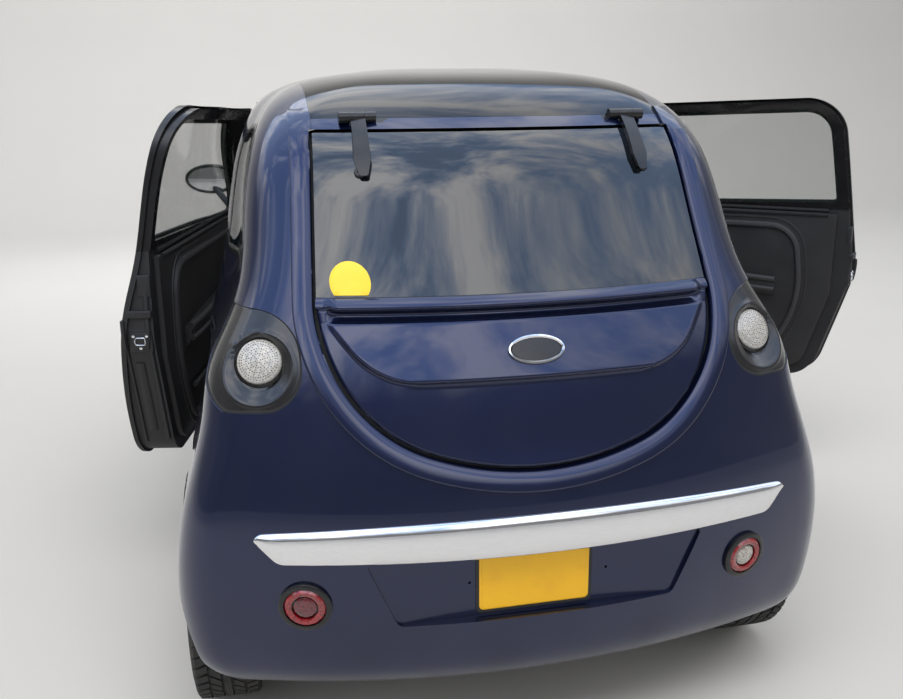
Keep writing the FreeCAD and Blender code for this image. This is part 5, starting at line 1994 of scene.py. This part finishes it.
class MICROCAR_OT_wheels(bpy.types.Operator):
    """Make four tyres with tread and four seven-spoke wheels"""

    bl_idname = "microcar.wheels"
    bl_label = "Wheels"
    face_depth = 0.034

    def execute(self, context):
        low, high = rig.box("rear_left_tyre")
        radius = (high.z - low.z) / 2
        rim_low, rim_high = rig.box("rear_left_rim")
        rim, rim_half = (rim_high.z - rim_low.z) / 2, (rim_high.x - rim_low.x) / 2
        tyre, wheel = self.tyre(radius, rim), self.wheel(rim, rim_half)
        bolts = self.bolts(rim_half)
        for end in ("front", "rear"):
            for name, side in SIDES:
                low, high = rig.box(f"{end}_{name}_tyre")
                place = Matrix.Translation((low + high) / 2)
                if side < 0:
                    place = place @ Matrix.Scale(-1, 4, (1, 0, 0))
                here = f"{end}_{name}_"
                body = here + "wheel"
                settle(here + "tread", moved(tyre.copy(), place), body, tyre_rubber, [here + "tyre"], 35)
                settle(here + "spokes", moved(wheel.copy(), place), body, rim_alloy, [here + "rim"], 35)
                settle(here + "bolts", moved(bolts.copy(), place), body, chrome)
        for shape in (tyre, wheel, bolts):
            shape.free()
        return {"FINISHED"}

    def tyre(self, radius, rim):
        """A carcass with a bulged side wall, and rows of tread blocks round it."""
        wheels = sizes("wheels")
        base, bead = radius - wheels.groove, rim - 0.007
        outer = [
            (0.055, bead), (0.060, bead + 0.010), (0.0715, bead + 0.024), (0.0778, bead + 0.030),
            (0.0765, bead + 0.033), (0.0765, bead + 0.042), (0.0775, bead + 0.056),
            (0.0765, bead + 0.072), (0.0738, base - 0.016), (0.0700, base - 0.006), (0.0600, base),
        ]
        profile = [(-x, r) for x, r in outer] + [(x, r) for x, r in reversed(outer)]
        carcass = lathed(profile, (0, 0, 0), (1, 0, 0), 112, closed_profile=True)
        rib = [(-0.008, base - 0.002), (-0.008, radius), (0.008, radius), (0.008, base - 0.002)]
        ribs = lathed(rib, (0, 0, 0), (1, 0, 0), 112)
        pitch = 2 * math.pi / wheels.pitches
        blocks = []
        for x_low, x_high, slant, fill, drop in (
            (0.014, 0.036, 0.25, 0.78, 0.0), (0.042, 0.0725, -0.12, 0.72, 0.010)
        ):
            for side in (1, -1):
                blocks.append(
                    self.block(radius, base, x_low, x_high, slant * side, fill * pitch, drop, side)
                )
        tread = repeated(joined(blocks), wheels.pitches, tyre_rubber, turn=(pitch, 0, 0))
        return joined([carcass, ribs, tread])

    def block(self, radius, base, x_low, x_high, slant, sweep, drop, side):
        """One tread block: a skewed patch that follows the tyre, lower at the shoulder."""
        section = (
            (x_low, base - 0.003), (x_low, radius), (x_high * 0.8 + x_low * 0.2, radius - drop * 0.15),
            (x_high, radius - drop), (x_high, base - 0.003 - drop),
        )
        rings = []
        for k in range(3):
            angle = sweep * k / 2
            ring = []
            for x, level in section:
                turn = angle + slant * (x - x_low) / radius * 4
                ring.append(Vector((side * x, -level * math.sin(turn), level * math.cos(turn))))
            rings.append(ring)
        return bridged(rings, capped=True)

    def wheel(self, rim, half):
        """The barrel with its lips, seven rounded spokes and the hub with its cap."""
        seat = rim - 0.008
        lip = [
            (half, rim), (half + 0.001, rim - 0.004), (half - 0.003, seat - 0.008),
            (half - 0.012, seat - 0.013),
        ]
        inside = [
            (half - 0.05, seat - 0.016), (-half + 0.02, seat - 0.014), (-half, seat - 0.006), (-half, rim)
        ]
        back = [(-half + 0.007, seat), (half - 0.007, seat)]
        barrel = lathed([*lip, *inside, *back], (0, 0, 0), (1, 0, 0), 96, closed_profile=True)
        face = half - self.face_depth
        hub = [
            (face - 0.010, 0.030), (face - 0.010, 0.058), (face + 0.014, 0.058), (face + 0.020, 0.050),
            (face + 0.019, 0.034), (face + 0.024, 0.031), (face + 0.029, 0.022), (face + 0.030, 0.0005),
        ]
        centre = lathed(hub, (0, 0, 0), (1, 0, 0), 64)
        section = (
            (-1, -0.8), (-1, 0.1), (-0.78, 0.75), (-0.3, 1.0), (0, 0.86), (0.3, 1.0), (0.78, 0.75),
            (1, 0.1), (1, -0.8),
        )
        spoke_rings = []
        for k in range(13):
            share = k / 12
            level = 0.044 + (seat - 0.012 - 0.044) * share
            wide = 0.017 + 0.012 * share**1.6
            crown = face + 0.014 - 0.006 * share + 0.010 * math.sin(math.pi * share)
            spoke_rings.append([Vector((crown + (b - 1) * 0.010, a * wide, level)) for a, b in section])
        count = sizes("wheels").spokes
        spokes = repeated(
            bridged(spoke_rings, capped=True), count, rim_alloy, turn=(2 * math.pi / count, 0, 0)
        )
        return joined([barrel, centre, spokes])

    def bolts(self, half):
        """Four wheel bolts in their seats."""
        face = half - self.face_depth + 0.014
        bolt = lathed(
            [(0, 0.0075), (0.006, 0.0075), (0.008, 0.006), (0.008, 0.0004)], (face, 0, 0.043), (1, 0, 0), 6
        )
        return repeated(bolt, 4, chrome, turn=(math.pi / 2, 0, 0))


# Underneath


class MICROCAR_OT_chassis(bpy.types.Operator):
    """Finish the floor, wheel housings, suspension, rear beam and engine block"""

    bl_idname = "microcar.chassis"
    bl_label = "Chassis"

    def execute(self, context):
        for node in ("floor_pan", "front_suspension", "rear_beam"):
            panel(node, "body", chassis_black)
        for node in ("front_wheel_housings", "rear_wheel_housings"):
            panel(node, "body", textured_black)
        for name, _ in SIDES:
            panel(f"{name}_knuckle", f"{name}_hub", cast_metal)
        self.springs()
        self.engine()
        return {"FINISHED"}

    def springs(self):
        """The coils of the front springs, round the struts."""
        low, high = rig.box("front_suspension")
        x, y, radius, wire = 0.520, (low.y + high.y) / 2, 0.033, 0.0055
        bottom, top, coils, steps = high.z - 0.165, high.z - 0.016, 6, 16
        line = []
        for k in range(coils * steps + 1):
            angle = 2 * math.pi * k / steps
            level = bottom + (top - bottom) * k / (coils * steps)
            line.append(Vector((x + radius * math.cos(angle), y + radius * math.sin(angle), level)))
        coil = tube(line, wire, 8)
        both_sides("front_springs", coil, "body", chassis_black)

    def engine(self):
        """The engine block with rounded edges, cooling ribs and a cover."""
        low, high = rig.box("engine_block")
        block = rounded_block(low, high, 0.018, 4)
        wide = high.x - low.x
        rib = rounded_block(
            (low.x + 0.03, low.y - 0.006, low.z + 0.05), (low.x + 0.038, low.y + 0.02, high.z - 0.07),
            0.002, 1,
        )
        ribs = repeated(rib, 16, cast_metal, step=((wide - 0.07) / 15, 0, 0))
        settle("engine_casting", joined([block, ribs]), "body", cast_metal, ["engine_block"])
        cover = rounded_block(
            (low.x + 0.06, low.y + 0.05, high.z - 0.01), (high.x - 0.06, high.y - 0.05, high.z + 0.012),
            0.01,
        )
        settle("engine_cover", cover, "body", textured_black)


# Front


class MICROCAR_OT_front(bpy.types.Operator):
    """Make the domed headlamps, the round front lamps and the wiper"""

    bl_idname = "microcar.front"
    bl_label = "Front lamps and wiper"

    def execute(self, context):
        self.headlamps()
        self.fog_lamps()
        self.wiper()
        return {"FINISHED"}

    def headlamps(self):
        """Two domed lenses in bright rings on a dark glossy leaf."""
        panel("headlamps", "body", lamp_grey)
        skin = Skin(["headlamps"])
        rings, lenses = [], []
        for x, z, radius in ((0.540, 0.733, 0.045), (0.604, 0.766, 0.026)):
            place, normal = skin.from_front(x, z)
            axis = (normal + Vector((0, -0.6, 0))).normalized()
            place = place + axis * 0.006
            ring = [
                (-0.030, radius), (0.003, radius * 1.06), (0.0065, radius * 1.03), (0.006, radius * 0.97),
                (0.001, radius * 0.90), (-0.006, radius * 0.88),
            ]
            dome = [
                (-0.006, radius * 0.90), (0.002, radius * 0.89), (0.008, radius * 0.74),
                (0.0125, radius * 0.42), (0.0142, 0.0005),
            ]
            rings.append(lathed(ring, place, axis, 64))
            lenses.append(lathed(dome, place, axis, 64))
        both_sides("headlamp_rings", joined(rings), "body", chrome)
        both_sides("headlamp_lenses", joined(lenses), "body", lamp_lens)

    def fog_lamps(self):
        x, z, radius = round_place("front_round_lamps")
        place, normal = Skin(["front_round_lamps"]).from_front(x, z)
        bezel = [
            (-0.02, radius - 0.001), (0.004, radius + 0.002), (0.006, radius), (0.004, radius * 0.86),
            (-0.004, radius * 0.82),
        ]
        lens = [(-0.006, radius * 0.84), (0.001, radius * 0.82), (0.005, radius * 0.5), (0.006, 0.0005)]
        ring, glass = lathed(bezel, place, normal, 64), lathed(lens, place, normal, 64)
        both_sides("front_round_bezels", ring, "body", smooth_black, ["front_round_lamps"])
        both_sides("front_round_lenses", glass, "body", clear_lens)

    def wiper(self):
        """One wiper parked along the foot of the windscreen."""
        glass = Skin(["windscreen"])
        blade = [
            glass.from_front(-0.34 + 0.60 * k / 24, 1.075 + 0.012 * math.sin(math.pi * k / 24))
            for k in range(25)
        ]
        rubber = ribbon(
            [(p + n * 0.002, n) for p, n in blade],
            [(-0.003, 0), (0.003, 0), (0.002, 0.012), (-0.002, 0.012)], closed=False,
        )
        start, middle = glass.from_front(0.10, 1.045)[0], blade[13]
        arm = [
            start + Vector((0, -0.012, 0.0)), start.lerp(middle[0], 0.4) + middle[1] * 0.020,
            middle[0] + middle[1] * 0.016,
        ]
        settle("wiper", joined([rubber, tube(arm, 0.0045, 10)]), "body", smooth_black)


# Cabin


class MICROCAR_OT_seats(bpy.types.Operator):
    """Make two seats: swelled cushions, back pads and headrests on plastic bases"""

    bl_idname = "microcar.seats"
    bl_label = "Seats"

    def execute(self, context):
        low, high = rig.box("left_seat")
        middle, half = (low.x + high.x) / 2, (high.x - low.x) / 2
        cushion = [(-0.105, 0.345), (0.365, 0.325), (0.365, 0.415), (-0.105, 0.452)]
        back = [(0.360, 0.420), (0.455, 0.395), (0.600, 0.885), (0.518, 0.905)]
        head = [(0.560, 0.925), (0.604, 0.918), (0.628, 1.062), (0.574, 1.072)]
        pads = (
            ("cushion", cushion, half - 0.012, 0.05),
            ("back_pad", back, half - 0.022, 0.045),
            ("headrest", head, 0.112, 0.022),
        )
        base = self.base(low, middle, half)
        for label, outline, wide, corner in pads:
            shape = self.pad(outline, middle, wide, corner)
            shape = swell(shape, sizes("cabin").voxel, sizes("cabin").pressure, 0.010)
            for name, side in SIDES:
                whole = shape.copy() if side > 0 else mirrored(shape.copy())
                nodes = [f"{name}_seat"] if label == "cushion" else []
                piece = settle(f"{name}_seat_{label}", whole, "body", seat_cloth, nodes, 60)
                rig.padded(piece, fill=0.75)
            shape.free()
        for name, side in SIDES:
            whole = base.copy() if side > 0 else mirrored(base.copy())
            settle(f"{name}_seat_base", whole, "body", trim_black)
        base.free()
        return {"FINISHED"}

    def pad(self, outline, middle, wide, corner):
        """A block with rounded edges from a side outline."""
        bm = bmesh.new()
        rows = [[bm.verts.new((middle + side * wide, y, z)) for y, z in outline] for side in (-1, 1)]
        bm.faces.new(rows[0])
        bm.faces.new(rows[1][::-1])
        for k in range(4):
            bm.faces.new((rows[0][k], rows[1][k], rows[1][(k + 1) % 4], rows[0][(k + 1) % 4]))
        bmesh.ops.recalc_face_normals(bm, faces=bm.faces)
        bmesh.ops.bevel(bm, geom=bm.edges[:], offset=corner * 0.55, segments=4, profile=0.5, affect="EDGES")
        return bm

    def base(self, low, middle, half):
        """The plinth on the floor, side shields and the two posts of the headrest."""
        plinth = rounded_block(
            (middle - half + 0.03, -0.06, low.z), (middle + half - 0.03, 0.38, 0.335), 0.015
        )
        pieces = [plinth]
        for side in (-1, 1):
            x = middle + side * (half - 0.008)
            pieces.append(rounded_block((x - 0.008, 0.22, 0.33), (x + 0.008, 0.42, 0.42), 0.006))
        for side in (-1, 1):
            x = middle + side * 0.05
            pieces.append(tube([Vector((x, 0.560, 0.88)), Vector((x, 0.585, 0.94))], 0.006, 12))
        return joined(pieces)


def swell(bm, voxel, pressure, cap):
    """A pad's shape blown up by cloth pressure, each point moved by no more than the cap."""
    pad = placed("pad", mesh_of(bm, "pad"))
    remesh = pad.modifiers.new("remesh", "REMESH")
    remesh.mode, remesh.voxel_size = "VOXEL", voxel
    flatten(pad)
    rest = [vert.co.copy() for vert in pad.data.vertices]
    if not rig.quick():
        cloth = pad.modifiers.new("cloth", "CLOTH")
        cloth.settings.use_pressure = True
        cloth.settings.uniform_pressure_force = pressure
        cloth.settings.effector_weights.gravity = 0
        for step in range(1, 21):
            bpy.context.scene.frame_set(step)
        flatten(pad)
        for vert, start in zip(pad.data.vertices, rest):
            way = vert.co - start
            if way.length > cap:
                vert.co = start + way.normalized() * cap
        bpy.context.scene.frame_set(1)
    smooth = pad.modifiers.new("smooth", "SUBSURF")
    smooth.levels = smooth.render_levels = 1
    flatten(pad)
    result = bmesh.new()
    result.from_mesh(pad.data)
    bpy.data.objects.remove(pad)
    return result


def flatten(piece):
    """Applies a piece's modifiers to its mesh."""
    graph = bpy.context.evaluated_depsgraph_get()
    data = bpy.data.meshes.new_from_object(piece.evaluated_get(graph))
    piece.modifiers.clear()
    piece.data = data


class MICROCAR_OT_dashboard(bpy.types.Operator):
    """Make the dashboard with its dials, vents and centre stack, and the steering wheel"""

    bl_idname = "microcar.dashboard"
    bl_label = "Dashboard and steering wheel"

    def execute(self, context):
        panel("dashboard", "body", dash_grey)
        self.details()
        self.steering_wheel()
        return {"FINISHED"}

    def details(self):
        """Vents with slats, a blank centre stack and a round dial."""
        board = Skin(["dashboard"])
        pieces = []
        for x in (-0.42, -0.09, 0.09, 0.47):
            place, _ = board.from_behind(x, 0.86)
            frame_low = (x - 0.045, place.y - 0.01, 0.835)
            pieces.append(rounded_block(frame_low, (x + 0.045, place.y + 0.006, 0.885), 0.004, 2))
            slat = rounded_block(
                (x - 0.038, place.y + 0.004, 0.840), (x + 0.038, place.y + 0.010, 0.843), 0.0012, 1
            )
            pieces.append(repeated(slat, 6, smooth_black, step=(0, 0, 0.0078)))
        place, _ = board.from_behind(0.0, 0.80)
        pieces.append(
            rounded_block((-0.08, place.y - 0.02, 0.755), (0.08, place.y + 0.006, 0.825), 0.005, 2)
        )
        settle("dashboard_vents", joined(pieces), "body", smooth_black)
        x = JOINTS["steering_wheel_turn"]["pos_m"][0]
        place, _ = board.from_behind(x, 0.958)
        dial = lathed(
            [(0.0, 0.052), (0.012, 0.050), (0.012, 0.045), (0.003, 0.043), (0.002, 0.0005)], place,
            (0, 1, 0.25), 48,
        )
        settle("dial", dial, "body", smooth_black)

    def steering_wheel(self):
        """A thick round grip, three flat spokes, a boss and the shaft's shroud."""
        joint = JOINTS["steering_wheel_turn"]
        centre, axis = Vector(joint["pos_m"]), Vector(joint["axis"]).normalized()
        low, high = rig.box("steering_wheel")
        radius, grip = (high.x - low.x) / 2 - 0.014, 0.0138
        ring = [(grip * math.cos(t), radius + grip * math.sin(t)) for t in turns(20)]
        pieces = [lathed(ring, centre, axis, 96, closed_profile=True)]
        boss = [
            (-0.019, 0.030), (-0.019, 0.044), (0.012, 0.0445), (0.018, 0.040), (0.0195, 0.028),
            (0.0195, 0.0005),
        ]
        pieces.append(lathed(boss, centre, axis, 48))
        shaft = [(-0.128, 0.0005), (-0.128, 0.0235), (-0.02, 0.0235), (-0.016, 0.030)]
        pieces.append(lathed(shaft, centre, axis, 32))
        right = Vector((1, 0, 0))
        up = axis.cross(right)
        section = ((-1, -0.5), (-1, 0.5), (-0.8, 1), (0.8, 1), (1, 0.5), (1, -0.5), (0.8, -1), (-0.8, -1))
        for k in range(3):
            angle = math.radians(30 + 120 * k)
            way = right * math.cos(angle) + up * math.sin(angle)
            side = axis.cross(way)
            rings = []
            for share in (0.0, 0.25, 0.5, 0.75, 1.0):
                middle = centre + way * (0.036 + (radius - 0.040) * share)
                wide, thick = 0.021 - 0.007 * math.sin(math.pi * share), 0.0065
                rings.append([middle + side * wide * a + axis * thick * b for a, b in section])
            pieces.append(bridged(rings, capped=True))
        settle("steering_grip", joined(pieces), "steering", trim_black, ["steering_wheel"], 45)


# Stage


class MICROCAR_OT_stage(bpy.types.Operator):
    """Set the pale floor, the soft lights and the camera"""

    bl_idname = "microcar.stage"
    bl_label = "Stage"

    def execute(self, context):
        stage = sizes("stage")
        self.floor()
        self.lamps(stage.key)
        self.world()
        self.camera()
        context.scene.view_settings.view_transform = "Standard"
        return {"FINISHED"}

    def floor(self):
        """A floor that turns up into a backdrop ahead of the car."""
        reach, bend, wide, tall, steps = 7.0, 2.5, 16.0, 9, 12
        outline = [Vector((0, 14, 0)), Vector((0, -reach, 0))]
        for k in range(1, steps + 1):
            angle = math.pi / 2 * k / steps
            outline.append(Vector((0, -reach - bend * math.sin(angle), bend * (1 - math.cos(angle)))))
        outline.append(Vector((0, -reach - bend, tall)))
        rows = [[p + Vector((side * wide, 0, 0)) for p in outline] for side in (-1, 1)]
        bm = bridged(rows, closed=False)
        for face in bm.faces:
            face.smooth = True
        data = mesh_of(bm, "floor")
        data.materials.append(floor_pale())
        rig.stage(placed("floor", data))

    def lamps(self, key):
        """Large soft lamps above, behind and beside the car, and one for the backdrop."""
        # Name, place, target, width, height, and share of the key lamp's power
        table = (
            ("key", (0.5, 3.2, 5.2), (0, 0.6, 0.8), 4.5, 3.0, 1.0),
            ("left_fill", (5.5, 1.5, 2.6), (0, 0.3, 0.7), 3.5, 2.5, 0.32),
            ("right_fill", (-5.5, 1.0, 2.6), (0, 0.3, 0.7), 3.5, 2.5, 0.32),
            ("front_fill", (0, -5.5, 3.5), (0, -0.6, 0.7), 5.0, 2.0, 0.5),
            ("backdrop_wash", (0, -5.0, 6.0), (0, -9.5, 2.0), 12.0, 2.0, 1.5),
        )
        for name, place, target, width, height, share in table:
            data = bpy.data.lights.new(name, "AREA")
            data.shape = "RECTANGLE"
            data.size, data.size_y, data.energy = width, height, key * share
            lamp = placed(name, data)
            lamp.visible_glossy = False
            look = (Vector(target) - Vector(place)).to_track_quat("-Z", "Y")
            lamp.matrix_world = Matrix.Translation(place) @ look.to_matrix().to_4x4()

    def world(self):
        """An open sky to reflect, dark low down and clouded above, and an even dome for all other rays."""
        world = bpy.data.worlds.new("dome")
        bpy.context.scene.world = world
        world.use_nodes = True
        sky = Finish.__new__(Finish)
        sky.tree = world.node_tree
        sky.tree.nodes.clear()
        way = sky.add("ShaderNodeTexCoord", out="Generated")
        level = sky.add("ShaderNodeSeparateXYZ", [way], out="Z")
        values = {"Vector": way, "Scale": 2.1, "Detail": 6.0, "Roughness": 0.62, "Distortion": 0.6}
        clouds = sky.add("ShaderNodeTexNoise", values)
        rise = level + (clouds - 0.5) * 0.25
        side = sky.add("ShaderNodeSeparateXYZ", [way], out="X")
        bright = clouds.span(0.44, 0.62) * side.span(-0.6, 0.1, 0.35, 1.0) * 1.9 + 1.3
        power = rise.span(0.32, 0.6) * bright + clouds.span(0.3, 0.7, 0.18, 0.36)
        clear = rise.span(0.2, 0.5) * clouds.span(0.6, 0.46)
        tone = sky.blend(clear, (0.95, 0.95, 0.96), (0.45, 0.62, 0.95))
        glossy = sky.add("ShaderNodeLightPath", out="Is Glossy Ray")
        color = sky.blend(glossy, (0.62, 0.62, 0.63), tone)
        strength = glossy * (power - 1.0) + 1.0
        shine = sky.add("ShaderNodeBackground", {"Color": color, "Strength": strength})
        output = sky.tree.nodes.new("ShaderNodeOutputWorld")
        sky.tree.links.new(shine.socket, output.inputs[0])

    def camera(self):
        """The viewpoint of the photograph: behind the car, a little to its left, above its roof."""
        place, lens = Vector((0.54607, 3.15051, 1.42519)), 37.01
        yaw, pitch, roll = math.radians(12.138), math.radians(15.262), math.radians(-0.570)
        ahead = Vector(
            (-math.sin(yaw) * math.cos(pitch), -math.cos(yaw) * math.cos(pitch), -math.sin(pitch))
        )
        right = Vector((-math.cos(yaw), math.sin(yaw), 0))
        up = right.cross(ahead)
        level = right * math.cos(roll) + up * math.sin(roll)
        rise = up * math.cos(roll) - right * math.sin(roll)
        data = bpy.data.cameras.new("camera")
        data.lens, data.sensor_width = lens, 36.0
        camera = placed("camera", data)
        turn = Matrix((level, rise, -ahead)).transposed().to_4x4()
        camera.matrix_world = Matrix.Translation(place) @ turn
        bpy.context.scene.camera = camera


GROUPS = (
    ("paint", PaintSizes),
    ("glass", GlassSizes),
    ("lamps", LampSizes),
    ("doors", DoorSizes),
    ("wheels", WheelSizes),
    ("cabin", CabinSizes),
    ("stage", StageSizes),
)
OPERATORS = (
    MICROCAR_OT_panels,
    MICROCAR_OT_glass,
    MICROCAR_OT_tailgate,
    MICROCAR_OT_rear_lamps,
    MICROCAR_OT_rear_trim,
    MICROCAR_OT_doors,
    MICROCAR_OT_wheels,
    MICROCAR_OT_chassis,
    MICROCAR_OT_seats,
    MICROCAR_OT_dashboard,
    MICROCAR_OT_front,
    MICROCAR_OT_stage,
)


class MICROCAR_PT_sidebar(bpy.types.Panel):
    """Lists the car's pieces in the sidebar"""

    bl_label = "Microcar"
    bl_idname = "MICROCAR_PT_sidebar"
    bl_space_type = "VIEW_3D"
    bl_region_type = "UI"
    bl_category = "Microcar"

    def draw(self, context):
        for operator in OPERATORS:
            self.layout.operator(operator.bl_idname)
        for name, group in GROUPS:
            column = self.layout.column()
            for key in group.__annotations__:
                column.prop(sizes(name), key)


def register():
    for _, group in GROUPS:
        bpy.utils.register_class(group)
    for name, group in GROUPS:
        setattr(bpy.types.Scene, "microcar_" + name, PointerProperty(type=group))
    for operator in (*OPERATORS, MICROCAR_PT_sidebar):
        bpy.utils.register_class(operator)


def unregister():
    for operator in (MICROCAR_PT_sidebar, *reversed(OPERATORS)):
        bpy.utils.unregister_class(operator)
    for name, group in reversed(GROUPS):
        delattr(bpy.types.Scene, "microcar_" + name)
        bpy.utils.unregister_class(group)


def main():
    register()
    for operator in OPERATORS:
        getattr(bpy.ops.microcar, operator.bl_idname.split(".")[1])()
    with open("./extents.json", "w") as out:
        json.dump({"cad": [list(p) for p in CAD_BOX], "visual": [list(p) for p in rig.bounds()]}, out)


if __name__ == "__main__":
    main()
